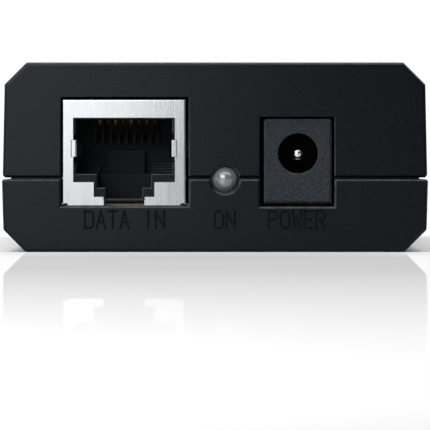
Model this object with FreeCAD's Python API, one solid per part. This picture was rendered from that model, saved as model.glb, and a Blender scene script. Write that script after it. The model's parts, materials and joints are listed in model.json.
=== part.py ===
import FreeCAD, Part

import math
import os

# Power-over-Ethernet injector: a two-part moulded case that holds two shielded network jacks,
# a barrel jack, a power lamp and the circuit board that joins them.
# Millimetres. +X is right, +Y runs into the case from the power-input end, +Z is up.
# The origin is the centre of the flat underside.

V = FreeCAD.Vector
X_AXIS = V(1, 0, 0)
Y_AXIS = V(0, 1, 0)
Z_AXIS = V(0, 0, 1)
FAR = 200.0                      # longer than anything, for cutters

# ---- case ----
CASE_WIDTH = 54.0
CASE_LENGTH = 80.8
CASE_HEIGHT = 24.0
PARTING_HEIGHT = 9.3             # where the two shells meet
WALL = 2.0
CORNER_CHAMFER = 2.8             # on the four long edges
UPPER_DRAFT = math.radians(1.2)
LOWER_DRAFT = math.radians(1.6)
END_DRAFT = math.radians(0.5)
EDGE_ROUND = 0.45
SEAM_GAP = 0.22                  # open line between the shells
SEAM_STEP = 0.1                  # upper shell set back from the lower one
UPPER_SEAM_CHAMFER = 0.3
LOWER_SEAM_CHAMFER = 0.2
LIP_HEIGHT = 1.4                 # tongue on the lower shell
LIP_THICKNESS = 0.9
LIP_CLEARANCE = 0.08
OPENING_CHAMFER = 0.25           # broken edge round each opening
CUTTER_LEAD = 0.2                # cutters with a flare start this far outside the wall
RIB_PLACES = (6.0, 15.5)         # ribs under each network jack, from the end face
RIB_THICKNESS = 1.0
RIB_INSET = 1.5                  # ribs end inside the jack's sides

# ---- board ----
BOARD_TOP = 6.1
BOARD_THICKNESS = 1.6
BOARD_CLEARANCE = 0.5            # to the shell all round
BOARD_CORNER = 1.0
BOARD_NOTCH = 5.0                # board cut back under the barrel jack's head
LEAD_REACH = 1.0                 # how far leads stand out under the board
HOLE_CLEARANCE = 0.15            # radial, round leads and pegs

# ---- screws ----
SCREW_X = 20.3
SCREW_Y = 17.8
SCREW_RADIUS = 1.3
SCREW_HEAD_RADIUS = 2.3
SCREW_HEAD_HEIGHT = 1.6
SCREW_HEAD_SINK = 0.5            # head below the underside
SCREW_BITE = 7.0                 # thread in the upper boss
SCREW_FREE = 0.2                 # radial clearance in lower boss and board
SCREW_PILOT = 1.3                # hole in the upper boss, cut by the thread
BOSS_RADIUS = 2.6                # in the upper shell
POST_RADIUS = 3.6                # in the lower shell, round the head's pocket
HEAD_POCKET_CLEARANCE = 0.25
DRIVE_WIDTH = 0.6
DRIVE_LENGTH = 2.6
DRIVE_DEPTH = 0.9
SCREW_HEAD_ROUND = 0.64
SCREW_TIP_BREAK = 0.65

# ---- label ----
LABEL_WIDTH = 30.0
LABEL_LENGTH = 52.0
LABEL_CORNER = 2.0
LABEL_RECESS = 0.25
LABEL_THICKNESS = 0.12
LABEL_MARGIN = 0.4               # recess is this much bigger on each side

# ---- network jacks ----
LAN_OPENING_X = -11.42
LAN_JACK_SHIFT = -0.1            # jack stands this far off its opening's centre
OUT_OPENING_X = -11.42
OUT_JACK_SHIFT = 0.1
JACK_SIDE_CLEARANCE = 0.2        # opening to shield, each side and above
JACK_BELOW = 0.32                # opening's sill below the board's top
JACK_RECESS = 0.4                # shield behind the case's end face
JACK_WIDTH = 15.8
JACK_HEIGHT = 13.3
JACK_DEPTH = 18.0
SHEET = 0.25
SHEET_BEND = 0.32
SHEET_CHAMFER = 0.05
SHIELD_MOUTH_HALF = 6.41
SHIELD_MOUTH_TOP = 10.85
SHIELD_SHOULDER = 2.74
SHIELD_NECK_HALF = 3.81
SHIELD_STEP = 0.87
SHIELD_SLOT_HALF = 2.575
CORNER_NOTCH_WIDTH = 0.75
CORNER_NOTCH_HEIGHT = 0.06
SKIRT_DROP = 0.2                 # front of the shield below the board's top, before the board's edge
HOUSING_GAP = 0.05               # plastic inside the shield
HOUSING_LIFT = 0.26              # plastic above the board
HOUSING_DEPTH = 12.9
PLUG_HALF = 6.1
PLUG_FLOOR = 3.77
PLUG_CEILING = 10.7
PLUG_DEPTH = 12.4
LATCH_WIDE_HALF = 3.42
LATCH_STEP = 2.02
LATCH_NARROW_HALF = 2.3
LATCH_FLOOR = 0.63
LATCH_WALL = 1.7                 # front wall that the latch locks behind
LATCH_DEPTH = 8.6
REAR_BLOCK_HALF = 2.37
REAR_BLOCK_TOP = 6.7
REAR_BLOCK_REACH = 1.5
LEDGE_INNER = 3.4
LEDGE_TOP = 5.1
LEDGE_STEPS = 4
LEDGE_REACH = 2.1
STEP_BREAK = 0.12                # broken edge of each step
MOUTH_BREAK = 0.12               # broken edge round the plastic's mouth
PEG_RADIUS = 1.6
PEG_X = 5.715
PEG_Y = 8.9
SHIELD_TAB_WIDTH = 1.5
SHIELD_TAB_Y = 11.9
LOCK_WINDOW = 2.2
LOCK_WINDOW_HEIGHT = 1.4
LOCK_WINDOW_Z = 6.0
LOCK_WINDOW_Y = 9.5

# ---- network jack contacts ----
CONTACT_COUNT = 8
CONTACT_PITCH = 1.016
CONTACT_WIDTH = 0.38
CONTACT_THICKNESS = 0.28
CONTACT_SLOT_CLEARANCE = 0.14    # each side
CONTACT_RUN = 11.75              # height of the run along the roof
CONTACT_FRONT = 1.9
CONTACT_BEND = 0.36
CONTACT_HINGE_Y = 2.45
CONTACT_HINGE_Z = 10.75
CONTACT_TIP_Y = 10.7
CONTACT_TIP_Z = 8.4
CONTACT_TOE = 0.7                # flat length past the tip
CONTACT_ROW_Y = 14.2
CONTACT_ROW_STEP = 2.54
JOINT_GAP = 0.03                 # between a spring's root and its fixed part
COMB_DEPTH = 2.2
COMB_LOW = 7.7
CARRIER_END = 17.6
CARRIER_HALF = 6.9
CARRIER_HIGH = 12.5

# ---- ground springs of the shield ----
TAB_LOW = 5.96
TAB_HIGH = 8.07
TAB_ROOT = 0.3                   # root plate left in the shield's notch
TAB_SHEET = 0.2
TAB_FLAT = 0.3                   # flat length past the edge of the shield's mouth
TAB_BEND = 0.13
TAB_KNEE_Y = 0.55
TAB_KNEE_IN = 0.2                # sideways reach of the first bend
TAB_BUMP_X = 5.55
TAB_BUMP_Y = 2.4
TAB_END_X = 6.15
TAB_END_Y = 4.3
TAB_POCKET_DEPTH = 1.05
TAB_POCKET_LENGTH = 5.2
TAB_POCKET_MARGIN = 0.35

# ---- barrel jack ----
DC_OPENING_X = 10.4
DC_JACK_SHIFT = 0.12
DC_SIDE_CLEARANCE = 0.37
DC_TOP_CLEARANCE = 0.2
DC_BELOW = 0.38                  # opening's sill below the board's top
DC_RECESS = 0.6
DC_WIDTH = 8.7
DC_HEIGHT = 10.8
DC_HEAD_DEPTH = 3.6
DC_DEPTH = 14.0
DC_TAIL_HEIGHT = 9.3
DC_ROUND = 0.45
DC_BORE_RADIUS = 2.5
DC_BORE_Z = 6.36
DC_BORE_DEPTH = 10.4
DC_BORE_BREAK = 0.15
DC_PIN_RADIUS = 0.825
DC_PIN_TIP = 1.1                 # tip behind the jack's face
DC_PIN_ROOT_RADIUS = 1.2
DC_PIN_NECK_RADIUS = 0.5
DC_BACK_WALL = 0.6               # plastic round the neck, between the bore and the pin's root
DC_PIN_ROOT_END = 12.2
DC_TERMINAL = 0.4                # thickness of the jack's terminals
DC_TERMINAL_WIDTH = 2.0
DC_SPRING_WIDTH = 2.2
DC_SPRING_THICKNESS = 0.3
DC_SPRING_HINGE_Y = 9.7
DC_SPRING_HINGE_Z = 2.2
DC_SPRING_BUMP_Y = 4.6
DC_SPRING_BUMP_RISE = 0.55       # into the bore
DC_SPRING_TIP_Y = 2.6
DC_SPRING_TIP_Z = 2.9
DC_SPRING_BEND = 0.9
DC_SLOT_CLEARANCE = 0.25
DC_SLOT_FLOOR = 0.9
DC_SHUNT_Y = 8.6                 # middle of the finger that rests over the spring
DC_SHUNT_WIDTH = 1.0
DC_SHUNT_GAP = 0.04
DC_SHUNT_START = 0.3             # finger's tip off the jack's middle
DC_SHUNT_INSET = 0.1             # leg inside the jack's side

# ---- lamp ----
LAMP_X = 1.27
LAMP_Z = 9.2
LAMP_RADIUS = 1.65
LAMP_HOLE_RADIUS = 1.82
LAMP_TIP = 0.1                   # dome's tip behind the end face
LAMP_LENGTH = 5.3
LAMP_FLANGE_RADIUS = 1.95
LAMP_FLANGE = 1.0
LAMP_LEAD = 0.5
LAMP_LEAD_PITCH = 2.54
LAMP_LEAD_RUN = 1.8
LAMP_LEAD_BEND = 0.6

# ---- parts on the board: middle of each, then its size ----
TRANSFORMER_AT = (-9.5, -9.0)
TRANSFORMER_SIZE = (17.0, 12.0, 5.8)
TRANSFORMER_LEADS = 12           # a side
CONTROLLER_AT = (8.5, -2.0)
CONTROLLER_SIZE = (10.3, 7.5, 2.35)
CONTROLLER_LEADS = 8             # a side
CHIP_LEAD_PITCH = 1.27
CHIP_LEAD_WIDTH = 0.42
CHIP_LEAD_THICKNESS = 0.25
CHIP_LEAD_REACH = 1.4            # beyond the body
CHIP_STANDOFF = 0.15
CHIP_EDGE_BREAK = 0.2
CHIP_LEAD_BEND = 0.2
CHIP_LEAD_SHOULDER = 0.45        # share of a chip's height where its leads come out
TRANSISTOR_AT = (10.5, 10.5)
TRANSISTOR_SIZE = (6.5, 6.1, 2.2)
TRANSISTOR_TAB = 0.5
TRANSISTOR_TAB_HALF = 2.73
TRANSISTOR_TAB_BACK = 1.4        # tab beyond the body
TRANSISTOR_TAB_INSET = 1.6
TRANSISTOR_LEG_X = 2.28
TRANSISTOR_LEG_WIDTH = 0.8
TRANSISTOR_LEG_REACH = 2.6
CHOKE_AT = (-2.0, 8.5)
CHOKE_RADIUS = 4.9
CHOKE_CORE_RADIUS = 2.3
CHOKE_FLANGE = 0.9
CHOKE_HEIGHT = 5.2
COIL_INSET = 0.4                 # coil inside the flanges' rims
INPUT_CAPACITOR_AT = (9.5, -15.5)
INPUT_CAPACITOR_RADIUS = 5.0
INPUT_CAPACITOR_HEIGHT = 12.5
OUTPUT_CAPACITOR_AT = (13.0, 29.0)
OUTPUT_CAPACITOR_RADIUS = 4.0
OUTPUT_CAPACITOR_HEIGHT = 11.5
SLEEVE_THICKNESS = 0.15
SLEEVE_LIFT = 0.3                # sleeve's foot above the board
SLEEVE_LAP = 1.2                 # radial width of the lap over the top edge
CAN_ROUND = 0.4
CAN_NECK_HEIGHT = 2.2
CAN_NECK_RADIUS = 0.55
CAN_NECK_OFFSET = 0.25           # centre of the neck's groove outside the can
VENT_WIDTH = 0.3
VENT_DEPTH = 0.1
VENT_SPAN = 0.7                  # share of the can's radius
CAPACITOR_LEAD_HALF = 1.9        # half the spacing of the leads
WIRE_RADIUS = 0.3
FUSE_AT = (19.6, -30.0)
FUSE_RADIUS = 4.2
FUSE_HEIGHT = 7.6
FUSE_LEAD_HALF = 2.54
FUSE_ROUND = 0.5
DIODE_AT = (19.5, -8.5)
DIODE_SIZE = (6.9, 5.9, 2.3)
DIODE_STRAP_WIDTH = 3.0
DIODE_TOE = 1.1                  # strap folded under the body
SHIELD_CAPACITOR_AT = (2.8, 29.0)
SHIELD_CAPACITOR_RADIUS = 3.8
SHIELD_CAPACITOR_THICKNESS = 3.2
SHIELD_CAPACITOR_LIFT = 1.2
SHIELD_CAPACITOR_ROUND = 1.28
RESISTOR_SIZE = (2.0, 1.25, 0.55)
RESISTOR_ROW_AT = (-16.0, 3.2)
RESISTOR_COUNT = 6
RESISTOR_STEP = 2.4
CERAMIC_SIZE = (3.2, 1.6, 1.2)
CERAMIC_ROW_AT = (-10.5, 3.4)
CERAMIC_COUNT = 5
CERAMIC_STEP = 2.9

# ---- moulded lettering ----
GLYPH_HEIGHT = 2.15
GLYPH_PITCH = 1.5
GLYPH_STROKE = 0.28
GLYPH_DEPTH = 0.28
LETTERING_BASE = 3.0             # foot of the letters above the underside

# ---- derived places ----
FRONT = -CASE_LENGTH / 2
BACK = CASE_LENGTH / 2
BOARD_BOTTOM = BOARD_TOP - BOARD_THICKNESS
INNER_FLOOR = WALL
INNER_CEILING = CASE_HEIGHT - WALL
LEAD_END = -(BOARD_THICKNESS + LEAD_REACH)      # under the board, in a jack's own frame
LAN_X = LAN_OPENING_X + LAN_JACK_SHIFT
OUT_X = OUT_OPENING_X + OUT_JACK_SHIFT
DC_X = DC_OPENING_X + DC_JACK_SHIFT
HOUSING_FRONT = SHEET + HOUSING_GAP
HOUSING_HALF = JACK_WIDTH / 2 - SHEET - HOUSING_GAP
HOUSING_TOP = JACK_HEIGHT - SHEET - HOUSING_GAP
JACK_OPENING_WIDTH = JACK_WIDTH + 2 * JACK_SIDE_CLEARANCE
JACK_OPENING_LOW = BOARD_TOP - JACK_BELOW
JACK_OPENING_HIGH = BOARD_TOP + JACK_HEIGHT + JACK_SIDE_CLEARANCE
DC_OPENING_WIDTH = DC_WIDTH + 2 * DC_SIDE_CLEARANCE
DC_OPENING_LOW = BOARD_TOP - DC_BELOW
DC_OPENING_HIGH = BOARD_TOP + DC_HEIGHT + DC_TOP_CLEARANCE
SCREW_SEAT = SCREW_HEAD_SINK + SCREW_HEAD_HEIGHT


# ======================= basic shapes =======================

def block(x0, x1, y0, y1, z0, z1):
    """A box between two corners."""
    return Part.makeBox(x1 - x0, y1 - y0, z1 - z0, V(x0, y0, z0))


def mirrored_block(x0, x1, y0, y1, z0, z1):
    """A box on each side of the plane X = 0."""
    return [block(x0, x1, y0, y1, z0, z1), block(-x1, -x0, y0, y1, z0, z1)]


def rod(radius, start, direction, length):
    """A cylinder from a point along a direction."""
    return Part.makeCylinder(radius, length, start, direction)


def prism(points, extrusion):
    """A closed outline pulled along a vector."""
    return Part.Face(Part.makePolygon(points + [points[0]])).extrude(extrusion)


def joined(shapes):
    """One clean solid from overlapping shapes."""
    first = shapes[0]
    return first.fuse(shapes[1:]).removeSplitter()


def cut_all(shape, tools):
    """A shape with every tool taken out of it."""
    return shape.cut(Part.makeCompound(tools))


def edges_where(shape, test):
    """The edges whose every vertex passes a test."""
    return [e for e in shape.Edges if all(test(v.Point) for v in e.Vertexes)]


def bent_strip(points, bend, thickness, width, to_space, across):
    """A strip bent in one plane: the middle line goes through points, each corner has the bend radius."""
    half = thickness / 2
    flat = [FreeCAD.Vector(u, v, 0) for u, v in points]
    lines = {1: [], -1: []}
    for side in (1, -1):
        cursor = None
        for i, point in enumerate(flat):
            ahead = (flat[min(i + 1, len(flat) - 1)] - flat[min(i, len(flat) - 2)]).normalize()
            normal = V(-ahead.y, ahead.x, 0) * (side * half)
            if i in (0, len(flat) - 1):
                here = point + normal
                if cursor is not None:
                    lines[side].append(("line", cursor, here))
                cursor = here
                continue
            behind = (point - flat[i - 1]).normalize()
            turn = math.atan2(behind.x * ahead.y - behind.y * ahead.x, behind.dot(ahead))
            reach = bend * math.tan(abs(turn) / 2)
            left = V(-behind.y, behind.x, 0)
            centre = point - behind * reach + left * math.copysign(bend, turn)
            radius = bend - math.copysign(half, turn) * side
            spokes = [left * -math.copysign(radius, turn)]
            spokes += [FreeCAD.Rotation(Z_AXIS, math.degrees(turn * s)).multVec(spokes[0]) for s in (0.5, 1)]
            arc = [centre + s for s in spokes]
            lines[side].append(("line", cursor, arc[0]))
            lines[side].append(("arc", *arc))
            cursor = arc[2]
    outline = lines[1] + [("line", lines[1][-1][-1], lines[-1][-1][-1])]
    outline += [(kind, *reversed(rest)) for kind, *rest in reversed(lines[-1])]
    outline += [("line", lines[-1][0][1], lines[1][0][1])]
    edges = []
    for kind, *ends in outline:
        spots = [to_space(p.x, p.y) for p in ends]
        if kind == "line":
            edges.append(Part.LineSegment(*spots).toShape())
        else:
            edges.append(Part.Arc(*spots).toShape())
    face = Part.Face(Part.Wire(Part.sortEdges(edges)[0]))
    return face.extrude(across * width)


def strip_in_side_view(points, bend, thickness, width, x):
    """A bent strip drawn in the Y-Z plane and centred on x."""
    return bent_strip(points, bend, thickness, width, lambda y, z: V(x - width / 2, y, z), X_AXIS)


# ======================= lettering =======================

# Stroke letters on a field half as wide as it is high. A line is (x0, z0, x1, z1);
# an arc is (centre x, centre z, radius, start angle, sweep), angles in degrees from +X towards +Z.
GLYPHS = {
    "A": [(0, 0, 0.25, 1), (0.25, 1, 0.5, 0), (0.09, 0.36, 0.41, 0.36)],
    "D": [(0, 0, 0, 1), (0, 1, 0.25, 1), (0.25, 0.75, 0.25, 0, 90), (0.5, 0.75, 0.5, 0.25),
          (0.25, 0.25, 0.25, -90, 90), (0.25, 0, 0, 0)],
    "E": [(0, 0, 0, 1), (0, 1, 0.45, 1), (0, 0.52, 0.4, 0.52), (0, 0, 0.45, 0)],
    "I": [(0.25, 0, 0.25, 1)],
    "N": [(0, 0, 0, 1), (0, 1, 0.5, 0), (0.5, 0, 0.5, 1)],
    "O": [(0.25, 0.75, 0.25, 0, 180), (0, 0.75, 0, 0.25), (0.25, 0.25, 0.25, 180, 180), (0.5, 0.25, 0.5, 0.75)],
    "P": [(0, 0, 0, 1), (0, 1, 0.25, 1), (0.25, 0.75, 0.25, -90, 180), (0.25, 0.5, 0, 0.5)],
    "R": [(0, 0, 0, 1), (0, 1, 0.25, 1), (0.25, 0.75, 0.25, -90, 180), (0.25, 0.5, 0, 0.5),
          (0.25, 0.5, 0.5, 0)],
    "T": [(0, 1, 0.5, 1), (0.25, 1, 0.25, 0)],
    "U": [(0, 1, 0, 0.25), (0.25, 0.25, 0.25, 180, 180), (0.5, 0.25, 0.5, 1)],
    "W": [(0, 1, 0.1, 0), (0.1, 0, 0.25, 0.75), (0.25, 0.75, 0.4, 0), (0.4, 0, 0.5, 1)],
    " ": [],
}


def stroke(shape, left, y, depth):
    """The cutter for one stroke of a letter whose field starts at left."""
    half = GLYPH_STROKE / 2
    if len(shape) == 4:
        ends = [V(left + GLYPH_HEIGHT * x, y, LETTERING_BASE + GLYPH_HEIGHT * z)
                for x, z in (shape[:2], shape[2:])]
        along = ends[1] - ends[0]
        side = along.cross(Y_AXIS).normalize() * half
        bar = prism([ends[0] + side, ends[1] + side, ends[1] - side, ends[0] - side], Y_AXIS * depth)
        return [bar] + [rod(half, end, Y_AXIS, depth) for end in ends]
    cx, cz, radius, start, sweep = shape
    centre = V(left + GLYPH_HEIGHT * cx, y, LETTERING_BASE + GLYPH_HEIGHT * cz)
    radius = GLYPH_HEIGHT * radius
    ring = Part.makeCylinder(radius + half, depth, V(0, 0, 0), Z_AXIS, sweep)
    ring = ring.cut(rod(radius - half, V(0, 0, -1), Z_AXIS, depth + 2))
    # A cylinder's own sweep lies in X-Y from +X; this turns it upright, letter side outwards.
    ring.rotate(V(0, 0, 0), Z_AXIS, -start - sweep)
    ring.rotate(V(0, 0, 0), X_AXIS, -90)
    ring.translate(centre)
    return [ring]


def lettering(text, centre_x):
    """The cutter for a line of letters in the end face at FRONT, read from outside."""
    draft_in = (PARTING_HEIGHT - LETTERING_BASE) * math.tan(END_DRAFT)
    start_y = FRONT - 0.1
    depth = 0.1 + draft_in + GLYPH_DEPTH
    left = centre_x - ((len(text) - 1) * GLYPH_PITCH + GLYPH_HEIGHT / 2) / 2
    strokes = []
    for place, letter in enumerate(text):
        for shape in GLYPHS[letter]:
            strokes += stroke(shape, left + place * GLYPH_PITCH, start_y, depth)
    return joined(strokes)


# ======================= case =======================

def half_width(z, inset):
    """Half the case's width at a height, taken in by inset."""
    draft = UPPER_DRAFT if z > PARTING_HEIGHT else LOWER_DRAFT
    return CASE_WIDTH / 2 - inset - abs(z - PARTING_HEIGHT) * math.tan(draft)


def case_half(side, inset, setback=0.0):
    """The solid half of the case above (side 1) or below (side -1) the parting plane.

    It is taken in by inset all over, and by setback on its four sides.
    """
    face_z = CASE_HEIGHT - inset if side > 0 else inset
    cut = CORNER_CHAMFER - inset * (2 - math.sqrt(2))
    shoulder_z = face_z - side * cut
    shoulder_x = half_width(shoulder_z, inset) - setback
    base_x = half_width(PARTING_HEIGHT, inset) - setback
    right = [(base_x, PARTING_HEIGHT), (shoulder_x, shoulder_z), (shoulder_x - cut, face_z)]
    outline = right + [(-x, z) for x, z in reversed(right)]
    long_block = prism([V(x, FRONT, z) for x, z in outline], Y_AXIS * CASE_LENGTH)
    base_y = CASE_LENGTH / 2 - inset - setback
    face_y = base_y - abs(face_z - PARTING_HEIGHT) * math.tan(END_DRAFT)
    ends = [(-base_y, PARTING_HEIGHT), (-face_y, face_z), (face_y, face_z), (base_y, PARTING_HEIGHT)]
    wide_block = prism([V(-CASE_WIDTH, y, z) for y, z in ends], X_AXIS * (2 * CASE_WIDTH))
    return long_block.common(wide_block).removeSplitter()


def shell_skin(side, seam_chamfer):
    """A case half with its outer edges rounded and its seam edge broken."""
    seam_z = PARTING_HEIGHT + side * SEAM_GAP / 2
    low, high = (seam_z, CASE_HEIGHT + 1) if side > 0 else (-1, seam_z)
    setback = SEAM_STEP if side > 0 else 0.0
    slab = block(-CASE_WIDTH, CASE_WIDTH, -CASE_LENGTH, CASE_LENGTH, low, high)
    skin = case_half(side, 0, setback).common(slab)
    on_seam = [e for e in skin.Edges if all(abs(v.Z - seam_z) < 1e-6 for v in e.Vertexes)]
    others = [e for e in skin.Edges if not any(e.isSame(s) for s in on_seam)]
    skin = skin.makeFillet(EDGE_ROUND, others)
    return skin.makeChamfer(seam_chamfer, edges_where(skin, lambda p: abs(p.z - seam_z) < 1e-6))


def ring_tool(inset, z0, z1):
    """An upright block over the case's plan, taken in by inset."""
    x = CASE_WIDTH / 2 - inset
    y = CASE_LENGTH / 2 - inset
    return block(-x, x, -y, y, z0, z1)


def end_opening(centre_x, width, low, high):
    """The cutter for a jack's opening in the end wall at FRONT, with its edge broken outside."""
    x0 = centre_x - width / 2
    x1 = centre_x + width / 2
    through = block(x0, x1, FRONT - 1, FRONT + WALL + 0.5, low, high)
    rims = []
    for y, g in ((FRONT - CUTTER_LEAD, OPENING_CHAMFER + CUTTER_LEAD), (FRONT + OPENING_CHAMFER, 0.0)):
        corners = [V(x0 - g, y, low - g), V(x1 + g, y, low - g), V(x1 + g, y, high + g), V(x0 - g, y, high + g)]
        rims.append(Part.makePolygon(corners + [corners[0]]))
    return through.fuse(Part.makeLoft(rims, True, True))


def lamp_hole():
    """The cutter for the lamp's hole, with its edge broken outside."""
    centre = V(LAMP_X, FRONT - 1, LAMP_Z)
    through = rod(LAMP_HOLE_RADIUS, centre, Y_AXIS, WALL + 1.5)
    reach = OPENING_CHAMFER + CUTTER_LEAD
    flare = Part.makeCone(LAMP_HOLE_RADIUS + reach, LAMP_HOLE_RADIUS, reach,
                          V(LAMP_X, FRONT - CUTTER_LEAD, LAMP_Z), Y_AXIS)
    return through.fuse(flare)


def to_back(shape):
    """The same shape turned half round to face the other end."""
    turned = shape.copy()
    turned.rotate(V(0, 0, 0), Z_AXIS, 180)
    return turned


def openings():
    """Every cutter for the two end walls."""
    lan = end_opening(LAN_OPENING_X, JACK_OPENING_WIDTH, JACK_OPENING_LOW, JACK_OPENING_HIGH)
    out = to_back(end_opening(-OUT_OPENING_X, JACK_OPENING_WIDTH, JACK_OPENING_LOW, JACK_OPENING_HIGH))
    power = end_opening(DC_OPENING_X, DC_OPENING_WIDTH, DC_OPENING_LOW, DC_OPENING_HIGH)
    return [lan, out, power, lamp_hole()]


def screw_places():
    """The four screw axes, as X-Y pairs."""
    return [(sx * SCREW_X, sy * SCREW_Y) for sx in (-1, 1) for sy in (-1, 1)]


def lower_shell():
    skin = shell_skin(-1, LOWER_SEAM_CHAMFER)
    hollow = case_half(-1, WALL)
    shell = skin.cut(hollow)
    seam_z = PARTING_HEIGHT - SEAM_GAP / 2
    lip = ring_tool(WALL - LIP_THICKNESS, seam_z - 1, PARTING_HEIGHT + LIP_HEIGHT)
    lip = lip.cut(ring_tool(WALL, seam_z - 2, PARTING_HEIGHT + LIP_HEIGHT + 1))
    posts = [rod(POST_RADIUS, V(x, y, INNER_FLOOR - 0.5), Z_AXIS, BOARD_BOTTOM - INNER_FLOOR + 0.5)
             for x, y in screw_places()]
    reach = JACK_WIDTH / 2 - RIB_INSET
    half = RIB_THICKNESS / 2
    ribs = []
    for place in RIB_PLACES:
        for x, y in ((LAN_X, FRONT + place), (OUT_X, BACK - place)):
            ribs.append(block(x - reach, x + reach, y - half, y + half, INNER_FLOOR - 0.5, BOARD_BOTTOM))
    shell = joined([shell, lip] + posts + ribs)
    tools = openings()
    for x, y in screw_places():
        tools.append(rod(SCREW_RADIUS + SCREW_FREE, V(x, y, -1), Z_AXIS, FAR))
        tools.append(rod(SCREW_HEAD_RADIUS + HEAD_POCKET_CLEARANCE, V(x, y, -1), Z_AXIS, SCREW_SEAT + 1))
    tools.append(label_plate(LABEL_MARGIN, -1, LABEL_RECESS))
    tools.append(lettering("DATA IN", LAN_OPENING_X))
    tools.append(lettering("ON", LAMP_X))
    tools.append(lettering("POWER", DC_OPENING_X))
    tools.append(to_back(lettering("DATA OUT", -OUT_OPENING_X)))
    return cut_all(shell, tools)


def upper_shell():
    skin = shell_skin(1, UPPER_SEAM_CHAMFER)
    hollow = case_half(1, WALL)
    rebate = ring_tool(WALL - LIP_THICKNESS - LIP_CLEARANCE, PARTING_HEIGHT - 1, PARTING_HEIGHT + LIP_HEIGHT)
    shell = skin.cut(hollow).cut(rebate)
    bosses = [rod(BOSS_RADIUS, V(x, y, BOARD_TOP), Z_AXIS, INNER_CEILING - BOARD_TOP + 0.5)
              for x, y in screw_places()]
    shell = joined([shell] + bosses)
    tools = openings()
    for x, y in screw_places():
        tools.append(rod(SCREW_PILOT, V(x, y, BOARD_TOP - 1), Z_AXIS, SCREW_BITE + 2))
    return cut_all(shell, tools)


def case_screw(x, y):
    """One self-tapping pan-head screw, head down."""
    head = rod(SCREW_HEAD_RADIUS, V(x, y, SCREW_HEAD_SINK), Z_AXIS, SCREW_HEAD_HEIGHT)
    rim = edges_where(head, lambda p: abs(p.z - SCREW_HEAD_SINK) < 1e-6)
    head = head.makeFillet(SCREW_HEAD_ROUND, rim)
    length = BOARD_TOP + SCREW_BITE - SCREW_SEAT
    shank = rod(SCREW_RADIUS, V(x, y, SCREW_SEAT), Z_AXIS, length)
    tip = edges_where(shank, lambda p: p.z > SCREW_SEAT + 1)
    shank = shank.makeChamfer(SCREW_TIP_BREAK, tip)
    half = DRIVE_WIDTH / 2
    long_half = DRIVE_LENGTH / 2
    top = SCREW_HEAD_SINK + DRIVE_DEPTH
    cross = [block(x - half, x + half, y - long_half, y + long_half, -1, top),
             block(x - long_half, x + long_half, y - half, y + half, -1, top)]
    return cut_all(joined([head, shank]), cross)


def label_plate(margin, z0, z1):
    """The label's rounded outline, grown by margin, between two heights."""
    x = LABEL_WIDTH / 2 + margin
    y = LABEL_LENGTH / 2 + margin
    plate = block(-x, x, -y, y, z0, z1)
    upright = [e for e in plate.Edges if abs(e.tangentAt(e.FirstParameter).z) > 0.9]
    return plate.makeFillet(LABEL_CORNER + margin, upright)


# ======================= network jack, in its own frame =======================
# Origin at the shield's front face, on the board, in the middle; +Y into the jack.

def contact_x(place):
    return (place - (CONTACT_COUNT - 1) / 2) * CONTACT_PITCH


def contact_row(place):
    """Depth of a contact's lead: the leads stand in two staggered rows."""
    return CONTACT_ROW_Y + (place % 2) * CONTACT_ROW_STEP


def jack_shield():
    half = JACK_WIDTH / 2
    outer = block(-half, half, 0, JACK_DEPTH, 0, JACK_HEIGHT)
    bends = [e for e in outer.Edges
             if (all(v.Z > JACK_HEIGHT - 1e-6 for v in e.Vertexes) or all(v.Y < 1e-6 for v in e.Vertexes))
             and not all(v.Z < 1e-6 for v in e.Vertexes)]
    outer = outer.makeFillet(SHEET_BEND, bends)
    inner = block(-half + SHEET, half - SHEET, SHEET, JACK_DEPTH - SHEET, -1, JACK_HEIGHT - SHEET)
    shield = outer.cut(inner)
    right = [(SHIELD_MOUTH_HALF, SHIELD_MOUTH_TOP), (SHIELD_MOUTH_HALF, SHIELD_SHOULDER),
             (SHIELD_NECK_HALF, SHIELD_SHOULDER), (SHIELD_NECK_HALF, SHIELD_STEP),
             (SHIELD_SLOT_HALF, SHIELD_STEP), (SHIELD_SLOT_HALF, -1)]
    outline = right + [(-x, z) for x, z in reversed(right)]
    mouth = prism([V(x, -1, z) for x, z in outline], Y_AXIS * (SHEET + 1.02))
    notch_x = half - CORNER_NOTCH_WIDTH
    tools = [mouth] + mirrored_block(notch_x, half + 1, -1, SHEET + 0.01, -1, CORNER_NOTCH_HEIGHT)
    shield = cut_all(shield, tools)
    rim = edges_where(shield, lambda p: abs(p.y) < 1e-6 and abs(p.x) < SHIELD_MOUTH_HALF + 0.01
                      and p.z < SHIELD_MOUTH_TOP + 0.01)
    shield = shield.makeChamfer(SHEET_CHAMFER, rim)
    root = SHIELD_MOUTH_HALF + TAB_ROOT + JOINT_GAP
    tab_notches = mirrored_block(SHIELD_MOUTH_HALF - 1, root, -1, SHEET + 1,
                                 TAB_LOW - JOINT_GAP, TAB_HIGH + JOINT_GAP)
    window_z = LOCK_WINDOW_Z + LOCK_WINDOW_HEIGHT
    windows = mirrored_block(half - 1, half + 1, LOCK_WINDOW_Y, LOCK_WINDOW_Y + LOCK_WINDOW,
                             LOCK_WINDOW_Z, window_z)
    shield = cut_all(shield, tab_notches + windows)
    pegs = mirrored_block(half - SHEET, half, SHIELD_TAB_Y - SHIELD_TAB_WIDTH / 2,
                          SHIELD_TAB_Y + SHIELD_TAB_WIDTH / 2, LEAD_END, 1)
    skirt = mirrored_block(SHIELD_SLOT_HALF, notch_x, 0, SHEET, -SKIRT_DROP, SHIELD_STEP / 2)
    return joined([shield] + pegs + skirt)


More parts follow.
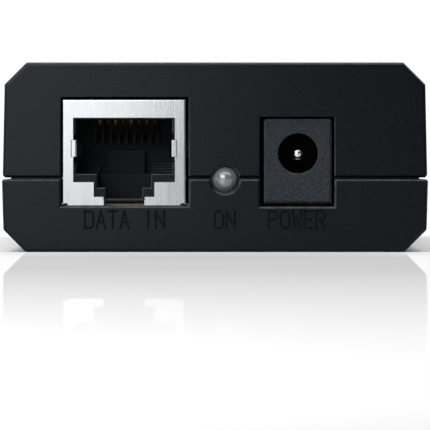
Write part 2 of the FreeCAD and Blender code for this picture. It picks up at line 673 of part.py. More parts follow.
def jack_housing():
    body = block(-HOUSING_HALF, HOUSING_HALF, HOUSING_FRONT, HOUSING_DEPTH, HOUSING_LIFT, HOUSING_TOP)
    front = HOUSING_FRONT - 1
    plug = block(-PLUG_HALF, PLUG_HALF, front, PLUG_DEPTH, PLUG_FLOOR, PLUG_CEILING)
    wide = block(-LATCH_WIDE_HALF, LATCH_WIDE_HALF, front, LATCH_DEPTH, LATCH_STEP, PLUG_FLOOR + 1)
    narrow = block(-LATCH_NARROW_HALF, LATCH_NARROW_HALF, front, LATCH_DEPTH, LATCH_FLOOR, LATCH_STEP + 1)
    body = body.cut(joined([plug, wide, narrow]))
    rim = edges_where(body, lambda p: abs(p.y - HOUSING_FRONT) < 1e-6 and abs(p.x) < PLUG_HALF + 0.01
                      and p.z > HOUSING_LIFT + 0.01)
    body = body.makeChamfer(MOUTH_BREAK, rim)
    tools = [block(-LATCH_WIDE_HALF, LATCH_WIDE_HALF, HOUSING_FRONT + LATCH_WALL, LATCH_DEPTH,
                   LATCH_FLOOR, LATCH_STEP + 1)]
    slot_half = CONTACT_WIDTH / 2 + CONTACT_SLOT_CLEARANCE
    roof = CONTACT_RUN + CONTACT_THICKNESS / 2 + CONTACT_SLOT_CLEARANCE
    slot_front = CONTACT_FRONT - CONTACT_THICKNESS / 2 - CONTACT_SLOT_CLEARANCE
    for place in range(CONTACT_COUNT):
        x = contact_x(place)
        tools.append(block(x - slot_half, x + slot_half, slot_front, HOUSING_DEPTH + 1,
                           PLUG_CEILING - 0.5, roof))
    tools += spring_pockets()
    shell = cut_all(body, tools)
    extras = comb_ribs() + rear_steps() + lock_lugs()
    extras += [rod(PEG_RADIUS, V(s * PEG_X, PEG_Y, LEAD_END), Z_AXIS, HOUSING_LIFT + 0.2 - LEAD_END)
               for s in (-1, 1)]
    return joined([shell] + extras)


def spring_pockets():
    """Room beside the plug for the shield's two springs, with slanted ends."""
    x0 = PLUG_HALF - 0.5
    x1 = PLUG_HALF + TAB_POCKET_DEPTH
    low = TAB_LOW - TAB_POCKET_MARGIN
    high = TAB_HIGH + TAB_POCKET_MARGIN
    slant = TAB_POCKET_DEPTH * 0.5
    pockets = []
    for side in (-1, 1):
        outline = [(x0, low - slant), (x0, high + slant), (PLUG_HALF, high + slant), (x1, high),
                   (x1, low), (PLUG_HALF, low - slant)]
        pockets.append(prism([V(side * x, HOUSING_FRONT - 1, z) for x, z in outline],
                             Y_AXIS * (TAB_POCKET_LENGTH + 1)))
    return pockets


def comb_ribs():
    """Ribs at the back of the socket that keep the spring ends apart."""
    gap_half = CONTACT_WIDTH / 2 + CONTACT_SLOT_CLEARANCE
    ribs = []
    for place in range(CONTACT_COUNT + 1):
        middle = contact_x(place) - CONTACT_PITCH / 2
        half = CONTACT_PITCH / 2 - gap_half
        ribs.append(block(middle - half, middle + half, PLUG_DEPTH - COMB_DEPTH, PLUG_DEPTH + 0.1,
                          COMB_LOW, PLUG_CEILING + 0.1))
    return ribs


def broken_step(x0, x1, front, top):
    """A stop at the back of the socket, with its upper front edge broken."""
    back = PLUG_DEPTH + 0.1
    low = PLUG_FLOOR - 0.1
    outline = [(front, low), (front, top - STEP_BREAK), (front + STEP_BREAK, top), (back, top), (back, low)]
    return prism([V(x0, y, z) for y, z in outline], X_AXIS * (x1 - x0))


def rear_steps():
    """The stops at the back of the socket: a middle block and a stepped ledge on each side."""
    steps = [broken_step(-REAR_BLOCK_HALF, REAR_BLOCK_HALF, PLUG_DEPTH - REAR_BLOCK_REACH, REAR_BLOCK_TOP)]
    rise = (LEDGE_TOP - PLUG_FLOOR) / LEDGE_STEPS
    outer = PLUG_HALF + 0.1
    for level in range(LEDGE_STEPS):
        front = PLUG_DEPTH - LEDGE_REACH * (LEDGE_STEPS - level) / LEDGE_STEPS
        top = PLUG_FLOOR + rise * (level + 1)
        steps.append(broken_step(LEDGE_INNER, outer, front, top))
        steps.append(broken_step(-outer, -LEDGE_INNER, front, top))
    return steps


def lock_lugs():
    """Wedges that click into the shield's side windows."""
    lugs = []
    reach = SHEET * 0.8 + HOUSING_GAP
    y0 = LOCK_WINDOW_Y + 0.1
    y1 = LOCK_WINDOW_Y + LOCK_WINDOW - 0.1
    z0 = LOCK_WINDOW_Z + 0.1
    height = LOCK_WINDOW_HEIGHT - 0.2
    for side in (-1, 1):
        x = side * HOUSING_HALF
        root = x - side * 0.2
        outline = [V(root, y0, z0), V(x, y0, z0), V(x + side * reach, y1, z0), V(root, y1, z0)]
        lugs.append(prism(outline, Z_AXIS * height))
    return lugs


def contact_carrier():
    """The rear block that carries the contact leads down to the board."""
    body = block(-CARRIER_HALF, CARRIER_HALF, HOUSING_DEPTH, CARRIER_END, HOUSING_LIFT, CARRIER_HIGH)
    slot_half = CONTACT_WIDTH / 2 + CONTACT_SLOT_CLEARANCE
    slots = []
    for place in range(CONTACT_COUNT):
        x = contact_x(place)
        end = contact_row(place) + CONTACT_THICKNESS / 2 + CONTACT_SLOT_CLEARANCE
        slots.append(block(x - slot_half, x + slot_half, HOUSING_DEPTH - 1, end, -1, FAR))
    return cut_all(body, slots)


def contact_leads():
    """The fixed length of each contact: up from the board, along the roof and round the front bend."""
    leads = []
    for place in range(CONTACT_COUNT):
        row = contact_row(place)
        end_y = CONTACT_HINGE_Y - CONTACT_THICKNESS / 2 - JOINT_GAP
        path = [(row, LEAD_END), (row, CONTACT_RUN), (CONTACT_FRONT, CONTACT_RUN),
                (CONTACT_FRONT, CONTACT_HINGE_Z), (end_y, CONTACT_HINGE_Z)]
        leads.append(strip_in_side_view(path, CONTACT_BEND, CONTACT_THICKNESS, CONTACT_WIDTH,
                                        contact_x(place)))
    return Part.makeCompound(leads)


def contact_springs():
    """The free length of each contact, which slopes down to the comb and is pushed up by a plug."""
    springs = []
    tip = (CONTACT_TIP_Y, CONTACT_TIP_Z)
    for place in range(CONTACT_COUNT):
        x = contact_x(place)
        path = [(CONTACT_HINGE_Y, CONTACT_HINGE_Z), tip, (CONTACT_TIP_Y + CONTACT_TOE, CONTACT_TIP_Z)]
        strip = strip_in_side_view(path, CONTACT_BEND, CONTACT_THICKNESS, CONTACT_WIDTH, x)
        knuckle = rod(CONTACT_THICKNESS / 2, V(x - CONTACT_WIDTH / 2, CONTACT_HINGE_Y, CONTACT_HINGE_Z),
                      X_AXIS, CONTACT_WIDTH)
        springs.append(joined([strip, knuckle]))
    return Part.makeCompound(springs)


def ground_spring(side):
    """One spring of the shield, which a shielded plug pushes outwards. Side 1 is at +X."""
    root = SHIELD_MOUTH_HALF + TAB_ROOT - TAB_SHEET / 2
    middle = SHEET / 2
    flat_end = SHIELD_MOUTH_HALF - TAB_FLAT
    path = [(root, middle), (flat_end, middle), (flat_end - TAB_KNEE_IN, TAB_KNEE_Y),
            (TAB_BUMP_X, TAB_BUMP_Y), (TAB_END_X, TAB_END_Y)]
    low = TAB_LOW
    height = TAB_HIGH - TAB_LOW
    strip = bent_strip(path, TAB_BEND, TAB_SHEET, height, lambda x, y: V(side * x, y, low), Z_AXIS)
    knuckle = rod(TAB_SHEET / 2, V(side * root, middle, low), Z_AXIS, height)
    return joined([strip, knuckle])


# ======================= barrel jack, in its own frame =======================
# Origin at the jack's front face, on the board, in the middle; +Y into the jack.

def power_jack_body():
    half = DC_WIDTH / 2
    head = block(-half, half, 0, DC_HEAD_DEPTH, 0, DC_HEIGHT)
    rim = [e for e in head.Edges if all(v.Y < 1e-6 for v in e.Vertexes)
           or (abs(e.tangentAt(e.FirstParameter).y) > 0.9 and e.Vertexes[0].Z > 1)]
    head = head.makeFillet(DC_ROUND, rim)
    tail = block(-half, half, DC_HEAD_DEPTH - 1, DC_DEPTH, 0, DC_TAIL_HEIGHT)
    bore = rod(DC_BORE_RADIUS, V(0, -1, DC_BORE_Z), Y_AXIS, DC_BORE_DEPTH + 1)
    flare = Part.makeCone(DC_BORE_RADIUS + DC_BORE_BREAK, DC_BORE_RADIUS, DC_BORE_BREAK,
                          V(0, 0, DC_BORE_Z), Y_AXIS)
    root = rod(DC_PIN_ROOT_RADIUS, V(0, DC_BORE_DEPTH + DC_BACK_WALL, DC_BORE_Z), Y_AXIS, FAR)
    neck = rod(DC_PIN_NECK_RADIUS, V(0, DC_BORE_DEPTH - 1, DC_BORE_Z), Y_AXIS, DC_BACK_WALL + 2)
    slot_half = DC_SPRING_WIDTH / 2 + DC_SLOT_CLEARANCE
    slot = block(-slot_half, slot_half, DC_SPRING_TIP_Y - 0.8, DC_SPRING_HINGE_Y + 1.0,
                 DC_SLOT_FLOOR, DC_BORE_Z)
    rear_pocket = block(-DC_TERMINAL_WIDTH / 2 - 0.3, DC_TERMINAL_WIDTH / 2 + 0.3, DC_PIN_ROOT_END - 0.1,
                        DC_DEPTH + 1, -1, DC_BORE_Z + DC_PIN_ROOT_RADIUS + 0.4)
    leg_room = block(-slot_half, slot_half, DC_SPRING_HINGE_Y - 0.6, DC_SPRING_HINGE_Y + 1.0, -1,
                     DC_SLOT_FLOOR + 1)
    shunt_half = DC_SHUNT_WIDTH / 2 + 0.3
    shunt_room = block(0, half + 1, DC_SHUNT_Y - shunt_half, DC_SHUNT_Y + shunt_half, -1,
                       shunt_height() + DC_TERMINAL + 0.3)
    return cut_all(joined([head, tail]), [bore, flare, root, neck, slot, rear_pocket, leg_room, shunt_room])


def power_jack_pin():
    """The centre pin with its domed tip, its root in the jack's back wall and its terminal."""
    tip_y = DC_PIN_TIP + DC_PIN_RADIUS
    root_y = DC_BORE_DEPTH + DC_BACK_WALL
    shaft = rod(DC_PIN_RADIUS, V(0, tip_y, DC_BORE_Z), Y_AXIS, DC_BORE_DEPTH - tip_y)
    neck = rod(DC_PIN_NECK_RADIUS, V(0, DC_BORE_DEPTH - 0.1, DC_BORE_Z), Y_AXIS, DC_BACK_WALL + 0.2)
    dome = Part.makeSphere(DC_PIN_RADIUS, V(0, tip_y, DC_BORE_Z))
    root = rod(DC_PIN_ROOT_RADIUS, V(0, root_y, DC_BORE_Z), Y_AXIS, DC_PIN_ROOT_END - root_y)
    half = DC_TERMINAL_WIDTH / 2
    blade = block(-half, half, DC_PIN_ROOT_END, DC_PIN_ROOT_END + DC_TERMINAL, LEAD_END,
                  DC_BORE_Z + DC_PIN_ROOT_RADIUS)
    return joined([shaft, dome, neck, root, blade])


def spring_bump_height():
    """Height of the sleeve spring's middle line where it stands into the bore."""
    return DC_BORE_Z - DC_BORE_RADIUS + DC_SPRING_BUMP_RISE - DC_SPRING_THICKNESS / 2


def shunt_height():
    """Underside of the shunt finger, just clear of the resting spring at the finger's front edge."""
    run = DC_SPRING_HINGE_Y - DC_SPRING_BUMP_Y
    rise = spring_bump_height() - DC_SPRING_HINGE_Z
    edge = DC_SPRING_HINGE_Y - DC_SHUNT_Y + DC_SHUNT_WIDTH / 2
    middle = DC_SPRING_HINGE_Z + rise * edge / run
    return middle + DC_SPRING_THICKNESS / 2 * math.hypot(run, rise) / run + DC_SHUNT_GAP


def power_jack_spring():
    """The leaf that presses up on the plug's sleeve."""
    path = [(DC_SPRING_HINGE_Y, DC_SPRING_HINGE_Z), (DC_SPRING_BUMP_Y, spring_bump_height()),
            (DC_SPRING_TIP_Y, DC_SPRING_TIP_Z)]
    leaf = strip_in_side_view(path, DC_SPRING_BEND, DC_SPRING_THICKNESS, DC_SPRING_WIDTH, 0)
    knuckle = rod(DC_SPRING_THICKNESS / 2, V(-DC_SPRING_WIDTH / 2, DC_SPRING_HINGE_Y, DC_SPRING_HINGE_Z),
                  X_AXIS, DC_SPRING_WIDTH)
    return joined([leaf, knuckle])


def power_jack_spring_terminal():
    """The fixed foot of the sleeve spring, down through the board."""
    top = DC_SPRING_HINGE_Z
    y = DC_SPRING_HINGE_Y + DC_SPRING_THICKNESS / 2 + JOINT_GAP
    half = DC_SPRING_WIDTH / 2
    return block(-half, half, y, y + DC_TERMINAL, LEAD_END, top + DC_SPRING_THICKNESS / 2)


def power_jack_shunt():
    """The fixed terminal that the resting spring touches, so that the jack can tell a plug is out."""
    low = shunt_height()
    reach = DC_WIDTH / 2 - DC_SHUNT_INSET
    y0 = DC_SHUNT_Y - DC_SHUNT_WIDTH / 2
    y1 = DC_SHUNT_Y + DC_SHUNT_WIDTH / 2
    finger = block(DC_SHUNT_START, reach, y0, y1, low, low + DC_TERMINAL)
    leg = block(reach - DC_TERMINAL, reach, y0, y1, LEAD_END, low + DC_TERMINAL)
    return joined([finger, leg])


# ======================= lamp =======================

def lamp_lens():
    tip_y = FRONT + LAMP_TIP
    base_y = tip_y + LAMP_LENGTH
    centre = V(LAMP_X, tip_y + LAMP_RADIUS, LAMP_Z)
    dome = Part.makeSphere(LAMP_RADIUS, centre)
    barrel = rod(LAMP_RADIUS, centre, Y_AXIS, base_y - centre.y)
    flange = rod(LAMP_FLANGE_RADIUS, V(LAMP_X, base_y - LAMP_FLANGE, LAMP_Z), Y_AXIS, LAMP_FLANGE)
    return joined([dome, barrel, flange])


def lamp_leads():
    base_y = FRONT + LAMP_TIP + LAMP_LENGTH
    row = base_y + LAMP_LEAD_RUN
    path = [(base_y, LAMP_Z), (row, LAMP_Z), (row, BOARD_TOP + LEAD_END)]
    return Part.makeCompound([strip_in_side_view(path, LAMP_LEAD_BEND, LAMP_LEAD, LAMP_LEAD,
                                                 LAMP_X + s * LAMP_LEAD_PITCH / 2)
                              for s in (-1, 1)])


# ======================= parts on the board =======================

def chip_body(place, size):
    """A moulded chip with its top edges broken, standing just off the board."""
    x, y = place
    base = BOARD_TOP + CHIP_STANDOFF
    body = block(x - size[0] / 2, x + size[0] / 2, y - size[1] / 2, y + size[1] / 2, base, BOARD_TOP + size[2])
    return body.makeChamfer(CHIP_EDGE_BREAK, edges_where(body, lambda p: p.z > base + 0.01))


def chip_leads(place, size, count):
    """Gull-wing leads along the two long sides of a chip."""
    x, y = place
    shoulder = BOARD_TOP + size[2] * CHIP_LEAD_SHOULDER
    foot = BOARD_TOP + CHIP_LEAD_THICKNESS / 2
    edge = size[1] / 2
    leads = []
    for side in (-1, 1):
        path = [(y + side * edge, shoulder), (y + side * (edge + 0.45 * CHIP_LEAD_REACH), shoulder),
                (y + side * (edge + 0.55 * CHIP_LEAD_REACH), foot), (y + side * (edge + CHIP_LEAD_REACH), foot)]
        for k in range(count):
            lead_x = x + (k - (count - 1) / 2) * CHIP_LEAD_PITCH
            leads.append(strip_in_side_view(path, CHIP_LEAD_BEND, CHIP_LEAD_THICKNESS, CHIP_LEAD_WIDTH, lead_x))
    return Part.makeCompound(leads)


def transistor_body():
    return chip_body(TRANSISTOR_AT, TRANSISTOR_SIZE).cut(transistor_tab())


def transistor_tab():
    """The metal tab under the switching transistor, soldered flat to the board, and its two legs."""
    x, y = TRANSISTOR_AT
    front = y - TRANSISTOR_SIZE[1] / 2
    back = y + TRANSISTOR_SIZE[1] / 2
    top = BOARD_TOP + TRANSISTOR_TAB
    tab = block(x - TRANSISTOR_TAB_HALF, x + TRANSISTOR_TAB_HALF, front + TRANSISTOR_TAB_INSET,
                back + TRANSISTOR_TAB_BACK, BOARD_TOP, top)
    half = TRANSISTOR_LEG_WIDTH / 2
    legs = []
    for leg_x in (x - TRANSISTOR_LEG_X, x + TRANSISTOR_LEG_X):
        legs.append(block(leg_x - half, leg_x + half, front - TRANSISTOR_LEG_REACH, front, BOARD_TOP, top))
    return Part.makeCompound([tab] + legs)


def diode_body():
    return chip_body(DIODE_AT, DIODE_SIZE)


def diode_leads():
    """The two straps that fold under the surge diode."""
    x, y = DIODE_AT
    half = DIODE_SIZE[0] / 2
    y0 = y - DIODE_STRAP_WIDTH / 2
    y1 = y + DIODE_STRAP_WIDTH / 2
    straps = []
    for side in (-1, 1):
        face = x + side * half
        outer = x + side * (half + CHIP_LEAD_THICKNESS)
        toe = x + side * (half - DIODE_TOE)
        upright = block(min(outer, face), max(outer, face), y0, y1, BOARD_TOP, BOARD_TOP + DIODE_SIZE[2] / 2)
        foot = block(min(toe, outer), max(toe, outer), y0, y1, BOARD_TOP, BOARD_TOP + CHIP_STANDOFF)
        straps.append(joined([upright, foot]))
    return Part.makeCompound(straps)


def choke_core():
    """The drum of the choke: two flanges and a waist."""
    x, y = CHOKE_AT
    lower = rod(CHOKE_RADIUS, V(x, y, BOARD_TOP), Z_AXIS, CHOKE_FLANGE)
    upper = rod(CHOKE_RADIUS, V(x, y, BOARD_TOP + CHOKE_HEIGHT - CHOKE_FLANGE), Z_AXIS, CHOKE_FLANGE)
    waist = rod(CHOKE_CORE_RADIUS, V(x, y, BOARD_TOP + 0.1), Z_AXIS, CHOKE_HEIGHT - 0.2)
    return joined([lower, upper, waist])


def choke_winding():
    """The copper coil between the choke's flanges."""
    x, y = CHOKE_AT
    base = BOARD_TOP + CHOKE_FLANGE
    height = CHOKE_HEIGHT - 2 * CHOKE_FLANGE
    coil = rod(CHOKE_RADIUS - COIL_INSET, V(x, y, base), Z_AXIS, height)
    return coil.cut(rod(CHOKE_CORE_RADIUS, V(x, y, base - 1), Z_AXIS, height + 2))


def capacitor_can(place, radius, height):
    """An aluminium can with its crimped neck, vented top and two leads."""
    x, y = place
    core = radius - SLEEVE_THICKNESS
    can = rod(core, V(x, y, BOARD_TOP), Z_AXIS, height)
    can = can.makeFillet(CAN_ROUND, edges_where(can, lambda p: p.z > BOARD_TOP + 1))
    neck = Part.makeTorus(core + CAN_NECK_OFFSET, CAN_NECK_RADIUS, V(x, y, BOARD_TOP + CAN_NECK_HEIGHT), Z_AXIS)
    top = BOARD_TOP + height
    reach = core * VENT_SPAN
    half = VENT_WIDTH / 2
    vent = [block(x - reach, x + reach, y - half, y + half, top - VENT_DEPTH, top + 1),
            block(x - half, x + half, y - reach, y + reach, top - VENT_DEPTH, top + 1)]
    can = cut_all(can, [neck] + vent)
    leads = [rod(WIRE_RADIUS, V(x + s * CAPACITOR_LEAD_HALF, y, BOARD_TOP + LEAD_END), Z_AXIS, 0.5 - LEAD_END)
             for s in (-1, 1)]
    return joined([can] + leads)


def capacitor_sleeve(place, radius, height):
    """The shrunk plastic sleeve round a can, lapped over its top edge."""
    x, y = place
    outer = rod(radius, V(x, y, BOARD_TOP + SLEEVE_LIFT), Z_AXIS, height - SLEEVE_LIFT + SLEEVE_THICKNESS)
    outer = outer.makeFillet(CAN_ROUND, edges_where(outer, lambda p: p.z > BOARD_TOP + 1))
    core = rod(radius - SLEEVE_THICKNESS, V(x, y, BOARD_TOP - 1), Z_AXIS, height + 1)
    core = core.makeFillet(CAN_ROUND, edges_where(core, lambda p: p.z > BOARD_TOP + 1))
    opening = rod(radius - SLEEVE_LAP, V(x, y, BOARD_TOP), Z_AXIS, FAR)
    return cut_all(outer, [core, opening])


def fuse_case():
    x, y = FUSE_AT
    case = rod(FUSE_RADIUS, V(x, y, BOARD_TOP), Z_AXIS, FUSE_HEIGHT)
    return case.makeFillet(FUSE_ROUND, edges_where(case, lambda p: p.z > BOARD_TOP + 1))


def fuse_leads():
    x, y = FUSE_AT
    foot = BOARD_TOP + LEAD_END
    return Part.makeCompound([rod(WIRE_RADIUS, V(x + s * FUSE_LEAD_HALF, y, foot), Z_AXIS, -LEAD_END)
                              for s in (-1, 1)])


def shield_capacitor_disc():
    """The dipped disc of the capacitor that ties the shields to the supply."""
    x, y = SHIELD_CAPACITOR_AT
    centre_z = BOARD_TOP + SHIELD_CAPACITOR_LIFT + SHIELD_CAPACITOR_RADIUS
    disc = rod(SHIELD_CAPACITOR_RADIUS, V(x, y - SHIELD_CAPACITOR_THICKNESS / 2, centre_z), Y_AXIS,
               SHIELD_CAPACITOR_THICKNESS)
    return disc.makeFillet(SHIELD_CAPACITOR_ROUND, disc.Edges)


def shield_capacitor_leads():
    x, y = SHIELD_CAPACITOR_AT
    foot = BOARD_TOP + LEAD_END
    top = BOARD_TOP + SHIELD_CAPACITOR_LIFT + SHIELD_CAPACITOR_RADIUS / 2
    leads = [rod(WIRE_RADIUS, V(x + s * FUSE_LEAD_HALF, y, foot), Z_AXIS, top - foot) for s in (-1, 1)]
    return cut_all(Part.makeCompound(leads), [shield_capacitor_disc()])


def chip_row(start, count, step, size):
    """A row of small chips along Y."""
    x, y = start
    row = []
    for k in range(count):
        middle = y + k * step
        row.append(block(x - size[0] / 2, x + size[0] / 2, middle - size[1] / 2, middle + size[1] / 2,
                         BOARD_TOP, BOARD_TOP + size[2]))
    return Part.makeCompound(row)


# ======================= board =======================

def network_jack_holes():
    """Cutters for one network jack's pegs, leads and shield tabs, in the jack's own frame."""
    span = LEAD_END * 2
    holes = [rod(PEG_RADIUS + HOLE_CLEARANCE, V(s * PEG_X, PEG_Y, span), Z_AXIS, -span + 1) for s in (-1, 1)]
    lead = math.hypot(CONTACT_WIDTH, CONTACT_THICKNESS) / 2 + HOLE_CLEARANCE
    for place in range(CONTACT_COUNT):
        holes.append(rod(lead, V(contact_x(place), contact_row(place), span), Z_AXIS, -span + 1))
    half = JACK_WIDTH / 2
    reach = SHIELD_TAB_WIDTH / 2 + HOLE_CLEARANCE
    holes += mirrored_block(half - SHEET - HOLE_CLEARANCE, half + HOLE_CLEARANCE, SHIELD_TAB_Y - reach,
                            SHIELD_TAB_Y + reach, span, 1)
    return holes


def power_jack_holes():
    """Cutters for the barrel jack's three terminals, in the jack's own frame."""
    span = LEAD_END * 2
    gap = HOLE_CLEARANCE
    pin_half = DC_TERMINAL_WIDTH / 2 + gap
    pin = block(-pin_half, pin_half, DC_PIN_ROOT_END - gap, DC_PIN_ROOT_END + DC_TERMINAL + gap, span, 1)
    spring_half = DC_SPRING_WIDTH / 2 + gap
    spring_y = DC_SPRING_HINGE_Y + DC_SPRING_THICKNESS / 2 + JOINT_GAP
    spring = block(-spring_half, spring_half, spring_y - gap, spring_y + DC_TERMINAL + gap, span, 1)
    reach = DC_WIDTH / 2 - DC_SHUNT_INSET
    shunt_half = DC_SHUNT_WIDTH / 2 + gap
    shunt = block(reach - DC_TERMINAL - gap, reach + gap, DC_SHUNT_Y - shunt_half, DC_SHUNT_Y + shunt_half,
                  span, 1)
    return [pin, spring, shunt]


def circuit_board():
    x = half_width(BOARD_BOTTOM, WALL) - BOARD_CLEARANCE
    y = CASE_LENGTH / 2 - WALL - BOARD_CLEARANCE
    board = block(-x, x, -y, y, BOARD_BOTTOM, BOARD_TOP)
    upright = [e for e in board.Edges if abs(e.tangentAt(e.FirstParameter).z) > 0.9]
    board = board.makeFillet(BOARD_CORNER, upright)
    notch_half = DC_WIDTH / 2 + BOARD_CORNER
    board = board.cut(block(DC_X - notch_half, DC_X + notch_half, FRONT, BOARD_NOTCH - y, 0, FAR))
    holes = [at_lan_jack(h) for h in network_jack_holes()]
    holes += [at_out_jack(h) for h in network_jack_holes()]
    holes += [at_power_jack(h) for h in power_jack_holes()]
    for sx, sy in screw_places():
        holes.append(rod(SCREW_RADIUS + SCREW_FREE, V(sx, sy, 0), Z_AXIS, FAR))
    wires = []
    for (cx, cy), half in ((INPUT_CAPACITOR_AT, CAPACITOR_LEAD_HALF), (OUTPUT_CAPACITOR_AT, CAPACITOR_LEAD_HALF),
                           (FUSE_AT, FUSE_LEAD_HALF), (SHIELD_CAPACITOR_AT, FUSE_LEAD_HALF)):
        wires += [(cx - half, cy), (cx + half, cy)]
    for wx, wy in wires:
        holes.append(rod(WIRE_RADIUS + HOLE_CLEARANCE, V(wx, wy, 0), Z_AXIS, FAR))
    lamp_row = FRONT + LAMP_TIP + LAMP_LENGTH + LAMP_LEAD_RUN
    lamp_hole_radius = LAMP_LEAD * math.sqrt(0.5) + HOLE_CLEARANCE
    for side in (-1, 1):
        holes.append(rod(lamp_hole_radius, V(LAMP_X + side * LAMP_LEAD_PITCH / 2, lamp_row, 0), Z_AXIS, FAR))
    return cut_all(board, holes)


# ======================= places =======================

def at_lan_jack(shape):
    moved = shape.copy()
    moved.translate(V(LAN_X, FRONT + JACK_RECESS, BOARD_TOP))
    return moved


def at_out_jack(shape):
    moved = to_back(shape)
    moved.translate(V(OUT_X, BACK - JACK_RECESS, BOARD_TOP))
    return moved


def at_power_jack(shape):
    moved = shape.copy()
    moved.translate(V(DC_X, FRONT + DC_RECESS, BOARD_TOP))
    return moved


def network_jack():
    """Every piece of a network jack, by name. Left and right are as seen from in front of the jack."""
    return {
        "shield": jack_shield(),
        "housing": jack_housing(),
        "rear_carrier": contact_carrier(),
        "contact_leads": contact_leads(),
        "contact_springs": contact_springs(),
        "ground_spring_left": ground_spring(-1),
        "ground_spring_right": ground_spring(1),
    }


def assembly():
    """Every piece in its place, by node name."""
    pieces = {
        "upper_shell": upper_shell(),
        "lower_shell": lower_shell(),
        "case_screws": Part.makeCompound([case_screw(x, y) for x, y in screw_places()]),
        "underside_label": label_plate(0.0, LABEL_RECESS - LABEL_THICKNESS, LABEL_RECESS),
        "circuit_board": circuit_board(),
        "power_jack_body": at_power_jack(power_jack_body()),
        "power_jack_pin": at_power_jack(power_jack_pin()),
        "power_jack_spring": at_power_jack(power_jack_spring()),
        "power_jack_spring_terminal": at_power_jack(power_jack_spring_terminal()),
        "power_jack_shunt": at_power_jack(power_jack_shunt()),
        "power_lamp": lamp_lens(),
        "power_lamp_leads": lamp_leads(),
        "lan_transformer": chip_body(TRANSFORMER_AT, TRANSFORMER_SIZE),
        "lan_transformer_leads": chip_leads(TRANSFORMER_AT, TRANSFORMER_SIZE, TRANSFORMER_LEADS),
        "power_controller": chip_body(CONTROLLER_AT, CONTROLLER_SIZE),
        "power_controller_leads": chip_leads(CONTROLLER_AT, CONTROLLER_SIZE, CONTROLLER_LEADS),
        "switch_transistor": transistor_body(),
        "switch_transistor_tab": transistor_tab(),
        "surge_diode": diode_body(),
        "surge_diode_straps": diode_leads(),
        "choke_core": choke_core(),
        "choke_winding": choke_winding(),
        "input_capacitor_can": capacitor_can(INPUT_CAPACITOR_AT, INPUT_CAPACITOR_RADIUS, INPUT_CAPACITOR_HEIGHT),
        "input_capacitor_sleeve": capacitor_sleeve(INPUT_CAPACITOR_AT, INPUT_CAPACITOR_RADIUS,
                                                   INPUT_CAPACITOR_HEIGHT),
        "output_capacitor_can": capacitor_can(OUTPUT_CAPACITOR_AT, OUTPUT_CAPACITOR_RADIUS,
                                              OUTPUT_CAPACITOR_HEIGHT),
        "output_capacitor_sleeve": capacitor_sleeve(OUTPUT_CAPACITOR_AT, OUTPUT_CAPACITOR_RADIUS,
                                                    OUTPUT_CAPACITOR_HEIGHT),
        "input_fuse": fuse_case(),
        "input_fuse_leads": fuse_leads(),
        "shield_capacitor": shield_capacitor_disc(),
        "shield_capacitor_leads": shield_capacitor_leads(),
        "chip_resistors": chip_row(RESISTOR_ROW_AT, RESISTOR_COUNT, RESISTOR_STEP, RESISTOR_SIZE),
        "chip_capacitors": chip_row(CERAMIC_ROW_AT, CERAMIC_COUNT, CERAMIC_STEP, CERAMIC_SIZE),
    }
    for name, shape in network_jack().items():
        pieces["lan_jack_" + name] = at_lan_jack(shape)
        pieces["out_jack_" + name] = at_out_jack(shape)
    return pieces


os.makedirs("parts", exist_ok=True)
for name, shape in assembly().items():
    shape.exportStep(os.path.join("parts", name + ".step"))
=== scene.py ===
import json
import math

import bpy
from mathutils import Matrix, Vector


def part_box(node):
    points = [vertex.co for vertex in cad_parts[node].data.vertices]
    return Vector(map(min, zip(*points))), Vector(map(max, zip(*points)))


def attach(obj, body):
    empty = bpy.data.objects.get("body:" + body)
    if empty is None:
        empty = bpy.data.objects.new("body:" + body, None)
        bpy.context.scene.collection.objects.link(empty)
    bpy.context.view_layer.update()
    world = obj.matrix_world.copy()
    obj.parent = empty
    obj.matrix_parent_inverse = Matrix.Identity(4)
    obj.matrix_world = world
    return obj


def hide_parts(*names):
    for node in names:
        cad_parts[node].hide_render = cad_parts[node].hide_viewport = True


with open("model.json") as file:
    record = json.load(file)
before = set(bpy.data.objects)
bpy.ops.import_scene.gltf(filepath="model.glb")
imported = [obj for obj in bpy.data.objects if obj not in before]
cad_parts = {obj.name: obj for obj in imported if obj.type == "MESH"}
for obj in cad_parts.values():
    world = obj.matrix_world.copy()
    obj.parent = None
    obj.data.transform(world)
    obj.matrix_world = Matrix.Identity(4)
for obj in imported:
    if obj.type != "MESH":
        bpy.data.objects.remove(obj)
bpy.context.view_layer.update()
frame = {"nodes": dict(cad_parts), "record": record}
nodes = frame["nodes"]

# ---------------------------------------------------------------- places and sizes, in metres

MM = 0.001
LETTER_FLOOR = 40.12 * MM        # floor of the sunk letters, from the middle of the case
LETTER_BAND = 0.14 * MM          # how far either side of that floor still counts
LETTER_TOP = 5.6 * MM            # all lettering is lower than this
CORNER_START = 23.5 * MM         # the bevels of the long edges lie outside this
BORE_REACH = 2.56 * MM           # just outside the wall of the barrel socket
BOARD_INNER = 36.5 * MM          # cut edges of the board nearer the middle than this get painted shade
LENS_RADIUS = 1.65 * MM
LENS_FLANGE = 1.0 * MM           # thickness of the lens's flange
WIRE_RADIUS = 0.283 * MM
INNER_LAYER = 2.75               # middle of the inner layer, in wire radii from the outside
MERGE_REACH = 1e-7               # points nearer to each other than this are one
SMOOTH_ANGLE = 0.6               # edges blunter than this are shaded smooth, in radians
FLAT_HALF_WIDTH = 23.4 * MM      # the flat of the underside, which rests on the floor
FLAT_HALF_LENGTH = 38.8 * MM
FLOOR_SIZE = 1.3
FLOOR_DROP = 0.02 * MM           # gap between the floor and the underside
FLOOR_FRONT = -0.30              # the floor's tones run from here to the middle of the case
SHEEN_START = -0.262             # along Y, the floor's sheen begins here,
SHEEN_FULL = -0.10               # has its full share here,
SHEEN_FADE = -0.060              # starts to go here
SHEEN_END = -0.040               # and is gone under the case
SHEEN_SHARE = 0.36
DIM_STRENGTH, WHITE_STRENGTH = 0.09, 1.05
